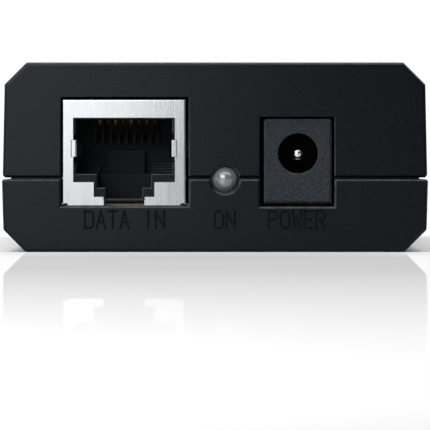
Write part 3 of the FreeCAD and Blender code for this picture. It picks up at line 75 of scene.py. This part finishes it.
CAMERA_PLACE = (0.0, -0.4404, 0.01201)
CAMERA_DIP = 1.05                # degrees below level
CAMERA_LENS = 264.7


# ---------------------------------------------------------------- node helpers

def feed(tree, value, socket):
    """Links an output into a socket, or sets the socket to a plain value."""
    if isinstance(value, bpy.types.NodeSocket):
        tree.links.new(value, socket)
    else:
        socket.default_value = value


def new_node(tree, kind, **values):
    """A shader node with its settings and its inputs given in one call."""
    made = tree.nodes.new(kind)
    for key, value in values.items():
        if key in made.inputs:
            feed(tree, value, made.inputs[key])
        else:
            setattr(made, key, value)
    return made


def worked(tree, operation, *values):
    """The output of a Math node fed by outputs and numbers."""
    made = new_node(tree, "ShaderNodeMath", operation=operation)
    for socket, value in zip(made.inputs, values):
        feed(tree, value, socket)
    return made.outputs[0]


def span(tree, value, low, high, to_low=0.0, to_high=1.0):
    """The output of a Map Range node, held inside its ends."""
    return new_node(tree, "ShaderNodeMapRange", **{
        "Value": value, "From Min": low, "From Max": high, "To Min": to_low, "To Max": to_high,
    }).outputs["Result"]


def parts_of(tree, vector):
    """The X, Y and Z of a vector."""
    return new_node(tree, "ShaderNodeSeparateXYZ", Vector=vector).outputs


def speckle(tree, vector, **values):
    """The output of a noise texture."""
    return new_node(tree, "ShaderNodeTexNoise", Vector=vector, **values).outputs["Fac"]


def blended(tree, factor, under, over):
    """A colour mixed from one colour towards another."""
    made = new_node(tree, "ShaderNodeMix", data_type="RGBA")
    tree.links.new(factor, made.inputs["Factor"])
    feed(tree, under, made.inputs[6])
    feed(tree, over, made.inputs[7])
    return made.outputs[2]


def joined(tree, factor, first, second):
    """Two shaders mixed by a factor."""
    made = tree.nodes.new("ShaderNodeMixShader")
    for socket, source in zip(made.inputs, (factor, first, second)):
        tree.links.new(source, socket)
    return made.outputs[0]


def tones(tree, value, steps):
    """A colour ramp through (position, colour) steps, in rising order."""
    made = new_node(tree, "ShaderNodeValToRGB", Fac=value)
    ramp = made.color_ramp.elements
    ramp[0].position, ramp[0].color = steps[0]
    ramp[1].position, ramp[1].color = steps[-1]
    for position, colour in steps[1:-1]:
        ramp.new(position).color = colour
    return made.outputs["Color"]


def object_place(tree):
    return tree.nodes.new("ShaderNodeTexCoord").outputs["Object"]


def facing(tree):
    """The X, Y and Z of the surface normal."""
    return parts_of(tree, tree.nodes.new("ShaderNodeNewGeometry").outputs["Normal"])


def radius_from(tree, centre):
    """The distance of each point from an axis along Y through a centre."""
    centred = new_node(tree, "ShaderNodeMapping", Vector=object_place(tree),
                       Location=(-centre[0], 0, -centre[2]), Scale=(1, 0, 1))
    radius = new_node(tree, "ShaderNodeVectorMath", operation="LENGTH")
    tree.links.new(centred.outputs[0], radius.inputs[0])
    return radius.outputs["Value"]


def laid_over(tree, mask, socket, value):
    """Mixes a value over what already feeds a socket, where the mask is set."""
    tree.links.new(blended(tree, mask, socket.links[0].from_socket, value), socket)


# ---------------------------------------------------------------- shared textures and masks

def group_shell(name, number, *outputs):
    """An empty node group with a Vector input, one number input and number outputs."""
    tree = bpy.data.node_groups.new(name, "ShaderNodeTree")
    tree.interface.new_socket("Vector", in_out="INPUT", socket_type="NodeSocketVector")
    tree.interface.new_socket(number, in_out="INPUT", socket_type="NodeSocketFloat")
    for label in outputs:
        tree.interface.new_socket(label, in_out="OUTPUT", socket_type="NodeSocketFloat")
    given = tree.nodes.new("NodeGroupInput").outputs
    return tree, given["Vector"], given[number], tree.nodes.new("NodeGroupOutput").inputs


def moulded_grain():
    """Spark-eroded mould texture: a fine height and a slow change of shade."""
    tree, place, scale, result = group_shell("moulded_grain", "Scale", "Height", "Shade")
    fine = speckle(tree, place, Scale=scale, Detail=3.0, Roughness=0.6)
    slow = speckle(tree, place, Scale=90.0, Detail=2.0)
    sharpened = span(tree, fine, 0.34, 0.66)
    tree.links.new(fine, result["Height"])
    shade = worked(tree, "MULTIPLY_ADD", sharpened, 0.75, worked(tree, "MULTIPLY", slow, 0.25))
    tree.links.new(shade, result["Shade"])
    return tree


def brushed_lines():
    """Rolling marks in sheet metal: noise drawn out along one direction by the vector given."""
    tree, place, scale, result = group_shell("brushed_lines", "Scale", "Height", "Shade")
    lines = speckle(tree, place, Scale=scale, Detail=4.0, Roughness=0.7)
    cloud = speckle(tree, place, Scale=260.0, Detail=1.0)
    tree.links.new(lines, result["Height"])
    tree.links.new(worked(tree, "MULTIPLY", lines, cloud), result["Shade"])
    return tree


def settled_dust():
    """A thin patchy mask on faces that look up."""
    tree, place, amount, result = group_shell("settled_dust", "Amount", "Mask")
    up = span(tree, facing(tree)["Z"], 0.5, 1.0)
    patches = speckle(tree, place, Scale=420.0, Detail=4.0)
    lying = worked(tree, "MULTIPLY", worked(tree, "MULTIPLY", up, amount), patches)
    tree.links.new(lying, result["Mask"])
    return tree


def letter_painted_shade():
    """A mask of painted shade on the floor of the sunk letters in the two ends."""
    tree, place, amount, result = group_shell("letter_painted_shade", "Amount", "Mask")
    place = parts_of(tree, place)
    deep = worked(tree, "COMPARE", worked(tree, "ABSOLUTE", place["Y"]), LETTER_FLOOR, LETTER_BAND)
    low = worked(tree, "LESS_THAN", place["Z"], LETTER_TOP)
    letter_shade_amount = worked(tree, "MULTIPLY", worked(tree, "MULTIPLY", deep, low), amount)
    tree.links.new(letter_shade_amount, result["Mask"])
    return tree


def painted_edge_highlight():
    """A mask of painted highlight on the narrow facets of broken edges that look up or left, towards the lamps.
    """
    tree, place, amount, result = group_shell("painted_edge_highlight", "Amount", "Mask")
    normal = facing(tree)
    off_middle = worked(tree, "ABSOLUTE", parts_of(tree, place)["X"])
    off_corners = worked(tree, "LESS_THAN", off_middle, CORNER_START)
    left = worked(tree, "MULTIPLY", worked(tree, "MULTIPLY", normal["X"], -1.0), off_corners)
    lifted = worked(tree, "MAXIMUM", normal["Z"], left)
    slope = worked(tree, "MULTIPLY", lifted, worked(tree, "ABSOLUTE", normal["Y"]))
    facet = span(tree, slope, 0.3, 0.48)
    patchy = worked(tree, "MULTIPLY", facet, speckle(tree, place, Scale=900.0, Detail=3.0))
    tree.links.new(worked(tree, "MULTIPLY", patchy, amount), result["Mask"])
    return tree


GRAIN = moulded_grain()
LINES = brushed_lines()
DUST = settled_dust()
EDGE_HIGHLIGHT = painted_edge_highlight()
# EDGE_HIGHLIGHT lays a painted highlight and LETTER_SHADE a painted shade
LETTER_SHADE = letter_painted_shade()

DUST_TONE = (0.45, 0.44, 0.42, 1)
BORE_BLACK = (0.002, 0.002, 0.002, 1)
BORE_POLISH = (0.10, 0.10, 0.10, 1)
# painted shade on the board's inner cut edges
CUT_SHADE_TONE = (0.012, 0.014, 0.008, 1)
RESIST_GREEN = (0.010, 0.085, 0.032, 1)
# painted highlight at the lens's rim
RIM_HIGHLIGHT_TONE = (0.72, 0.73, 0.74, 1)
COOL_TINT = (0.72, 0.90, 1.0, 1)
WHITE = (1, 1, 1, 1)
FLOOR_TONES = ((0.10, (0.605, 0.598, 0.598, 1)), (0.833, (0.80, 0.787, 0.789, 1)),
               (0.90, (0.97, 0.97, 0.97, 1)))
# painted highlight on edge facets that face up or left, towards the lamps
EDGE_HIGHLIGHT_TONE = (0.20, 0.215, 0.225, 1)
# painted shade on the floors of the sunk letters
LETTER_SHADE_TONE = (0.0008, 0.0008, 0.0008, 1)


# ---------------------------------------------------------------- finishes

def two_tone(name, dark, light, rough, texture, scale, bump, depth, metallic=0.0, stretch=(1, 1, 1),
             dust=0.0, edges=0.0, letters=0.0, rough_span=0.06, gloss=0.5, sheen_tint=(1, 1, 1)):
    """A material whose colour, roughness and bump all follow one texture group."""
    made = bpy.data.materials.new(name)
    made.use_nodes = True
    tree = made.node_tree
    sockets = tree.nodes["Principled BSDF"].inputs
    sockets["Metallic"].default_value = metallic
    sockets["IOR"].default_value = 1.5
    sockets["Specular IOR Level"].default_value = gloss
    sockets["Specular Tint"].default_value = (*sheen_tint, 1)
    place = object_place(tree)
    drawn = new_node(tree, "ShaderNodeMapping", Vector=place, Scale=stretch)
    pattern = new_node(tree, "ShaderNodeGroup", node_tree=texture, Vector=drawn.outputs[0],
                       Scale=scale).outputs
    colour = blended(tree, pattern["Shade"], (*dark, 1), (*light, 1))
    dullness = span(tree, pattern["Shade"], 0.0, 1.0, rough - rough_span, rough + rough_span)
    # dust is real; the edge mask lays a painted highlight and the letter mask a painted shade
    for group, amount, tone in ((DUST, dust, DUST_TONE), (EDGE_HIGHLIGHT, edges, EDGE_HIGHLIGHT_TONE),
                                (LETTER_SHADE, letters, LETTER_SHADE_TONE)):
        if amount:
            dust_and_painted_light = new_node(tree, "ShaderNodeGroup", node_tree=group, Vector=place, Amount=amount)
            mask = dust_and_painted_light.outputs["Mask"]
            colour = blended(tree, mask, colour, tone)
            if group == LETTER_SHADE:
                dullness = worked(tree, "MAXIMUM", dullness, mask)
    bumps = new_node(tree, "ShaderNodeBump", Strength=bump, Distance=depth, Height=pattern["Height"])
    tree.links.new(colour, sockets["Base Color"])
    tree.links.new(dullness, sockets["Roughness"])
    tree.links.new(bumps.outputs["Normal"], sockets["Normal"])
    return made


# in the recipes, edges sets the painted edge highlight and letters the painted shade in the sunk letters
RECIPES = {
    "case_plastic": dict(dark=(0.0006, 0.0012, 0.0022), light=(0.0018, 0.0032, 0.0050), rough=0.27,
                         texture=GRAIN, scale=5200.0, bump=0.05, depth=0.00002, dust=0.02, edges=0.5,
                         letters=0.7, gloss=0.25, sheen_tint=(0.84, 0.93, 1.0)),
    "shield_metal": dict(dark=(0.50, 0.53, 0.55), light=(0.74, 0.755, 0.765), rough=0.20, texture=LINES,
                         scale=1500.0, bump=0.25, depth=0.00002, metallic=1.0, stretch=(3.0, 3.0, 0.12)),
    "jack_plastic": dict(dark=(0.009, 0.012, 0.014), light=(0.017, 0.022, 0.025), rough=0.42, texture=GRAIN,
                         scale=3000.0, bump=0.2, depth=0.00002, edges=0.5, gloss=0.06),
    "power_jack_plastic": dict(dark=(0.0001, 0.0002, 0.0005), light=(0.035, 0.050, 0.068), rough=0.38,
                               texture=GRAIN, scale=4000.0, bump=1.0, depth=0.00030, edges=0.5, gloss=0.32),
    # gold kept much darker than bright gold: painted shade for contacts that sit in shade inside the socket
    "contact_gold": dict(dark=(0.25, 0.125, 0.052), light=(0.42, 0.24, 0.11), rough=0.34, texture=LINES,
                         scale=2500.0, bump=0.15, depth=0.00001, metallic=1.0),
    "plated_pin": dict(dark=(0.60, 0.60, 0.58), light=(0.80, 0.80, 0.78), rough=0.18, texture=LINES,
                       scale=2500.0, bump=0.15, depth=0.00001, metallic=1.0),
    "tinned_leads": dict(dark=(0.50, 0.50, 0.49), light=(0.74, 0.74, 0.72), rough=0.38, texture=LINES,
                         scale=1800.0, bump=0.2, depth=0.00001, metallic=1.0),
    "screw_steel": dict(dark=(0.38, 0.39, 0.40), light=(0.58, 0.58, 0.59), rough=0.34, texture=LINES,
                        scale=1600.0, bump=0.3, depth=0.00002, metallic=1.0),
    "label_paper": dict(dark=(0.66, 0.66, 0.64), light=(0.76, 0.76, 0.75), rough=0.72, texture=GRAIN,
                        scale=2200.0, bump=0.3, depth=0.00002),
    "chip_plastic": dict(dark=(0.012, 0.012, 0.013), light=(0.028, 0.028, 0.030), rough=0.6, texture=GRAIN,
                         scale=3000.0, bump=0.4, depth=0.00003),
    "ferrite": dict(dark=(0.025, 0.025, 0.027), light=(0.06, 0.06, 0.062), rough=0.7, texture=GRAIN,
                    scale=1800.0, bump=0.5, depth=0.00005),
    "copper_winding": dict(dark=(0.45, 0.16, 0.06), light=(0.66, 0.30, 0.13), rough=0.3, texture=LINES,
                           scale=900.0, bump=0.3, depth=0.00005, metallic=1.0, stretch=(0.1, 0.1, 6.0)),
    "can_aluminium": dict(dark=(0.66, 0.67, 0.68), light=(0.82, 0.82, 0.83), rough=0.35, texture=LINES,
                          scale=900.0, bump=0.2, depth=0.00002, metallic=1.0),
    "capacitor_sleeve": dict(dark=(0.015, 0.022, 0.06), light=(0.03, 0.04, 0.10), rough=0.25, texture=GRAIN,
                             scale=800.0, bump=0.2, depth=0.00003),
    "fuse_plastic": dict(dark=(0.10, 0.04, 0.015), light=(0.17, 0.075, 0.035), rough=0.45, texture=GRAIN,
                         scale=1600.0, bump=0.3, depth=0.00003),
    "disc_coating": dict(dark=(0.03, 0.13, 0.34), light=(0.06, 0.20, 0.46), rough=0.28, texture=GRAIN,
                         scale=700.0, bump=0.3, depth=0.00006),
    "resistor_ceramic": dict(dark=(0.02, 0.02, 0.02), light=(0.045, 0.045, 0.045), rough=0.4, texture=GRAIN,
                             scale=2500.0, bump=0.2, depth=0.00002),
    "capacitor_ceramic": dict(dark=(0.36, 0.24, 0.14), light=(0.50, 0.36, 0.23), rough=0.45, texture=GRAIN,
                              scale=2500.0, bump=0.2, depth=0.00002),
    "board_laminate": dict(dark=(0.62, 0.52, 0.30), light=(0.80, 0.70, 0.46), rough=0.4, texture=GRAIN,
                           scale=1800.0, bump=0.2, depth=0.00002),
}
FINISHES = {name: two_tone(name, **recipe) for name, recipe in RECIPES.items()}


def polish_bore(finish, pin):
    """Smooth black walls inside the barrel socket; its grain stays on the outside."""
    tree = finish.node_tree
    sockets = tree.nodes["Principled BSDF"].inputs
    inside = worked(tree, "LESS_THAN", radius_from(tree, pin), BORE_REACH)
    laid_over(tree, inside, sockets["Base Color"], BORE_BLACK)
    laid_over(tree, inside, sockets["Roughness"], BORE_POLISH)


def coat_board(finish):
    """Green solder resist on the board's faces; its end edges stay bare, and its inner cut edges get painted
    shade.
    """
    tree = finish.node_tree
    colour = tree.nodes["Principled BSDF"].inputs["Base Color"]
    off_middle = worked(tree, "ABSOLUTE", parts_of(tree, object_place(tree))["Y"])
    laid_over(tree, worked(tree, "LESS_THAN", off_middle, BOARD_INNER), colour, CUT_SHADE_TONE)
    flat = worked(tree, "GREATER_THAN", worked(tree, "ABSOLUTE", facing(tree)["Z"]), 0.5)
    laid_over(tree, flat, colour, RESIST_GREEN)


PIN = next(mount["pos_m"] for mount in frame["record"]["mounts"] if mount["name"] == "power_pin")
polish_bore(FINISHES["power_jack_plastic"], PIN)
coat_board(FINISHES["board_laminate"])

for part in frame["record"]["subparts"]:
    shown = nodes[part["node"]]
    finish = FINISHES.get(part["material_slot"])
    if finish:
        shown.data.materials.clear()
        shown.data.materials.append(finish)


# ---------------------------------------------------------------- modelling helpers

def only_nothing():
    """Deselects everything, so that an operator acts on new pieces only."""
    bpy.ops.object.select_all(action="DESELECT")


def only(piece):
    """Makes one piece the active and only selected object."""
    only_nothing()
    piece.select_set(True)
    bpy.context.view_layer.objects.active = piece


def named(name):
    """Names the newly added object and its mesh."""
    piece = bpy.context.object
    piece.name = name
    piece.data.name = name
    return piece


def set_down(piece):
    """Puts a piece's place, turn and size into its mesh."""
    only(piece)
    bpy.ops.object.transform_apply(location=True, rotation=True, scale=True)


def pick_faces(piece, test):
    """In edit mode: selects the faces whose middle and normal pass the test."""
    bpy.ops.mesh.select_all(action="DESELECT")
    bpy.ops.object.mode_set(mode="OBJECT")
    for face in piece.data.polygons:
        face.select = test(face.center, face.normal)
    bpy.ops.object.mode_set(mode="EDIT")


def pick_edges(piece, test):
    """In edit mode: selects the edges whose two ends both pass the test."""
    bpy.ops.mesh.select_mode(type="EDGE")
    bpy.ops.mesh.select_all(action="DESELECT")
    bpy.ops.object.mode_set(mode="OBJECT")
    points = piece.data.vertices
    for edge in piece.data.edges:
        edge.select = all(test(points[k].co) for k in edge.vertices)
    bpy.ops.object.mode_set(mode="EDIT")


def settle(piece, body, material):
    """Closes a finished piece, and gives it its body, slot and finish."""
    set_down(piece)
    bpy.ops.object.mode_set(mode="EDIT")
    bpy.ops.mesh.select_all(action="SELECT")
    bpy.ops.mesh.remove_doubles(threshold=MERGE_REACH)
    bpy.ops.mesh.normals_make_consistent(inside=False)
    bpy.ops.object.mode_set(mode="OBJECT")
    bpy.ops.object.shade_smooth_by_angle(angle=SMOOTH_ANGLE)
    piece.data.materials.clear()
    piece.data.materials.append(material)
    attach(piece, body)


# ---------------------------------------------------------------- lamp and choke

def lens_finish(centre):
    """Milky epoxy, with a painted highlight that makes it paler towards its rim."""
    made = two_tone("lamp_lens", dark=(0.24, 0.25, 0.257), light=(0.30, 0.312, 0.32), rough=0.22, texture=GRAIN,
                    scale=1500.0, bump=0.1, depth=0.00001, rough_span=0.03)
    tree = made.node_tree
    sockets = tree.nodes["Principled BSDF"].inputs
    for name, value in (("Transmission Weight", 0.3), ("Coat Weight", 1.0), ("Coat Roughness", 0.05),
                        ("Coat IOR", 2.0)):
        sockets[name].default_value = value
    rim_highlight_steps = ((0.0, 0.0), (0.62, 0.0), (0.80, 0.45), (0.95, 0.9))
    rim_highlight = tones(tree, span(tree, radius_from(tree, centre), 0.0, LENS_RADIUS),
                [(position, (pale, pale, pale, 1)) for position, pale in rim_highlight_steps])
    laid_over(tree, rim_highlight, sockets["Base Color"], RIM_HIGHLIGHT_TONE)
    return made


def lamp():
    """The lens: a dome drawn back into a barrel, with a flange at its foot."""
    low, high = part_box("power_lamp")
    dome_y = low.y + LENS_RADIUS
    flange_y = high.y - LENS_FLANGE
    centre = ((low.x + high.x) / 2, dome_y, (low.z + high.z) / 2)
    grow = (high.x - low.x) / 2 / LENS_RADIUS
    only_nothing()
    bpy.ops.mesh.primitive_uv_sphere_add(segments=48, ring_count=24, radius=LENS_RADIUS, location=centre,
                                         rotation=(math.pi / 2, 0, 0))
    lens = named("lamp_lens")
    set_down(lens)
    bpy.ops.object.mode_set(mode="EDIT")
    pick_faces(lens, lambda middle, normal: middle.y > dome_y)
    bpy.ops.mesh.delete(type="FACE")
    pick_edges(lens, lambda point: point.y > dome_y - MERGE_REACH)
    bpy.ops.mesh.extrude_region_move(TRANSFORM_OT_translate={"value": (0, flange_y - dome_y, 0)})
    bpy.ops.mesh.extrude_region_move()
    bpy.ops.transform.resize(value=(grow, 1, grow), center_override=(centre[0], flange_y, centre[2]))
    bpy.ops.mesh.extrude_region_move(TRANSFORM_OT_translate={"value": (0, high.y - flange_y, 0)})
    bpy.ops.mesh.edge_face_add()
    bpy.ops.mesh.select_mode(type="VERT")
    bpy.ops.object.mode_set(mode="OBJECT")
    settle(lens, "housing", lens_finish(centre))
    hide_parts("power_lamp")


def choke_coil():
    """Turns of enamelled wire, wound side by side in two layers round the drum."""
    low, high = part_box("choke_winding")
    middle = (low + high) / 2
    foot = (middle.x, middle.y, low.z + WIRE_RADIUS)
    outer = (high.x - low.x) / 2
    shrink = (outer - INNER_LAYER * WIRE_RADIUS) / (outer - WIRE_RADIUS)
    only_nothing()
    bpy.ops.mesh.primitive_torus_add(major_segments=56, minor_segments=12, major_radius=outer - WIRE_RADIUS,
                                     minor_radius=WIRE_RADIUS, location=foot)
    coil = named("choke_coil")
    set_down(coil)
    bpy.ops.object.mode_set(mode="EDIT")
    bpy.ops.mesh.select_all(action="SELECT")
    bpy.ops.mesh.duplicate_move()
    bpy.ops.transform.resize(value=(shrink, shrink, 1), center_override=foot)
    bpy.ops.object.mode_set(mode="OBJECT")
    turns = coil.modifiers.new("turns", "ARRAY")
    turns.use_relative_offset = False
    turns.use_constant_offset = True
    turns.constant_offset_displace = (0, 0, 2 * WIRE_RADIUS)
    turns.count = int((high.z - low.z) / (2 * WIRE_RADIUS))
    bpy.ops.object.modifier_apply(modifier="turns")
    settle(coil, "housing", FINISHES["copper_winding"])
    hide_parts("choke_winding")


lamp()
choke_coil()


# ---------------------------------------------------------------- stage

def footprint(tree, place):
    """Marks the floor hidden under the flat of the case, so light from below can reach the underside."""
    inside = [worked(tree, "LESS_THAN", worked(tree, "ABSOLUTE", place[axis]), reach)
              for axis, reach in (("X", FLAT_HALF_WIDTH), ("Y", FLAT_HALF_LENGTH))]
    return worked(tree, "MINIMUM", *inside)


def floor_finish():
    """Pale card with a sheen before the case, which bounces little light and is clear from below."""
    made = two_tone("studio_card", dark=(0.93, 0.93, 0.93), light=(0.97, 0.97, 0.97), rough=0.9, texture=GRAIN,
                    scale=30.0, bump=0.0, depth=0.00001)
    tree = made.node_tree
    card = tree.nodes["Principled BSDF"]
    card.inputs["Specular IOR Level"].default_value = 0.0
    place = parts_of(tree, object_place(tree))
    tone = tones(tree, span(tree, place["Y"], FLOOR_FRONT, 0.0), FLOOR_TONES)
    tree.links.new(tone, card.inputs["Base Color"])
    sheen = new_node(tree, "ShaderNodeBsdfGlossy", Color=(0.9, 0.9, 0.9, 1), Roughness=0.004)
    fade = span(tree, place["Y"], SHEEN_START, SHEEN_FULL, 0.0, SHEEN_SHARE)
    front = span(tree, place["Y"], SHEEN_FADE, SHEEN_END, 1.0, 0.0)
    seen = joined(tree, worked(tree, "MULTIPLY", fade, front), card.outputs[0], sheen.outputs[0])
    dim = new_node(tree, "ShaderNodeBsdfDiffuse", Color=(0.30, 0.30, 0.30, 1))
    path = tree.nodes.new("ShaderNodeLightPath")
    bounced = joined(tree, path.outputs["Is Diffuse Ray"], seen, dim.outputs[0])
    below = tree.nodes.new("ShaderNodeNewGeometry").outputs["Backfacing"]
    clear = tree.nodes.new("ShaderNodeBsdfTransparent")
    open_floor = worked(tree, "MAXIMUM", below, footprint(tree, place))
    one_sided = joined(tree, open_floor, bounced, clear.outputs[0])
    tree.links.new(one_sided, tree.nodes["Material Output"].inputs["Surface"])
    return made


def floor():
    only_nothing()
    bpy.ops.mesh.primitive_plane_add(size=FLOOR_SIZE, location=(0, 0, -FLOOR_DROP))
    sheet = named("studio_floor")
    sheet.data.materials.append(floor_finish())


def soft_light(name, place, aim, size, power, tint=(1, 1, 1)):
    """A rectangular panel of light, turned towards a point."""
    panel = bpy.data.lights.new(name, "AREA")
    panel.shape = "RECTANGLE"
    panel.size, panel.size_y = size
    panel.energy = power
    panel.color = tint
    stand = bpy.data.objects.new(name, panel)
    stand.location = place
    stand.rotation_euler = (Vector(aim) - Vector(place)).to_track_quat("-Z", "Y").to_euler()
    bpy.context.scene.collection.objects.link(stand)


def surroundings():
    """Dim cool surroundings with a white band low behind the case; the camera sees them white."""
    world = bpy.data.worlds.new("studio")
    bpy.context.scene.world = world
    world.use_nodes = True
    tree = world.node_tree
    way = parts_of(tree, tree.nodes.new("ShaderNodeTexCoord").outputs["Generated"])
    behind = span(tree, way["Y"], 0.3, 0.6)
    near_level = span(tree, way["Z"], 0.45, 0.25)
    band = worked(tree, "MULTIPLY", behind, near_level)
    to_camera = tree.nodes.new("ShaderNodeLightPath").outputs["Is Camera Ray"]
    white = worked(tree, "MAXIMUM", to_camera, band)
    back = tree.nodes["Background"]
    tree.links.new(span(tree, white, 0.0, 1.0, DIM_STRENGTH, WHITE_STRENGTH), back.inputs["Strength"])
    tree.links.new(blended(tree, white, COOL_TINT, WHITE), back.inputs["Color"])
    bpy.context.scene.view_settings.view_transform = "Standard"


def camera():
    data = bpy.data.cameras.new("camera")
    data.lens = CAMERA_LENS
    data.sensor_width = 36.0
    data.clip_start = 0.01
    data.clip_end = 20.0
    eye = bpy.data.objects.new("camera", data)
    eye.location = CAMERA_PLACE
    eye.rotation_euler = (math.radians(90 - CAMERA_DIP), 0, 0)
    bpy.context.scene.collection.objects.link(eye)
    bpy.context.scene.camera = eye


floor()
soft_light("face_card", place=(-0.119, -0.31, 0.050), aim=(-0.119, 0.0, 0.050), size=(0.21, 0.09),
           power=0.105, tint=(1.0, 0.975, 0.945))
soft_light("corner_card", place=(-0.004, -0.31, 0.042), aim=(-0.004, 0.0, 0.042), size=(0.020, 0.040),
           power=0.003)
soft_light("key_left", place=(-0.12, -0.30, 0.155), aim=(-0.05, 0.0, 0.01), size=(0.22, 0.13), power=0.40)
soft_light("below", place=(0, 0, -0.40), aim=(0, 0, 0), size=(0.60, 0.60), power=1.1)
soft_light("side_left", place=(-0.35, -0.05, 0.06), aim=(0.0, -0.03, 0.01), size=(0.30, 0.14), power=0.12)
soft_light("overhead", place=(0.0, 0.10, 0.80), aim=(0, 0.10, 0), size=(1.9, 1.9), power=17.0)
surroundings()
camera()
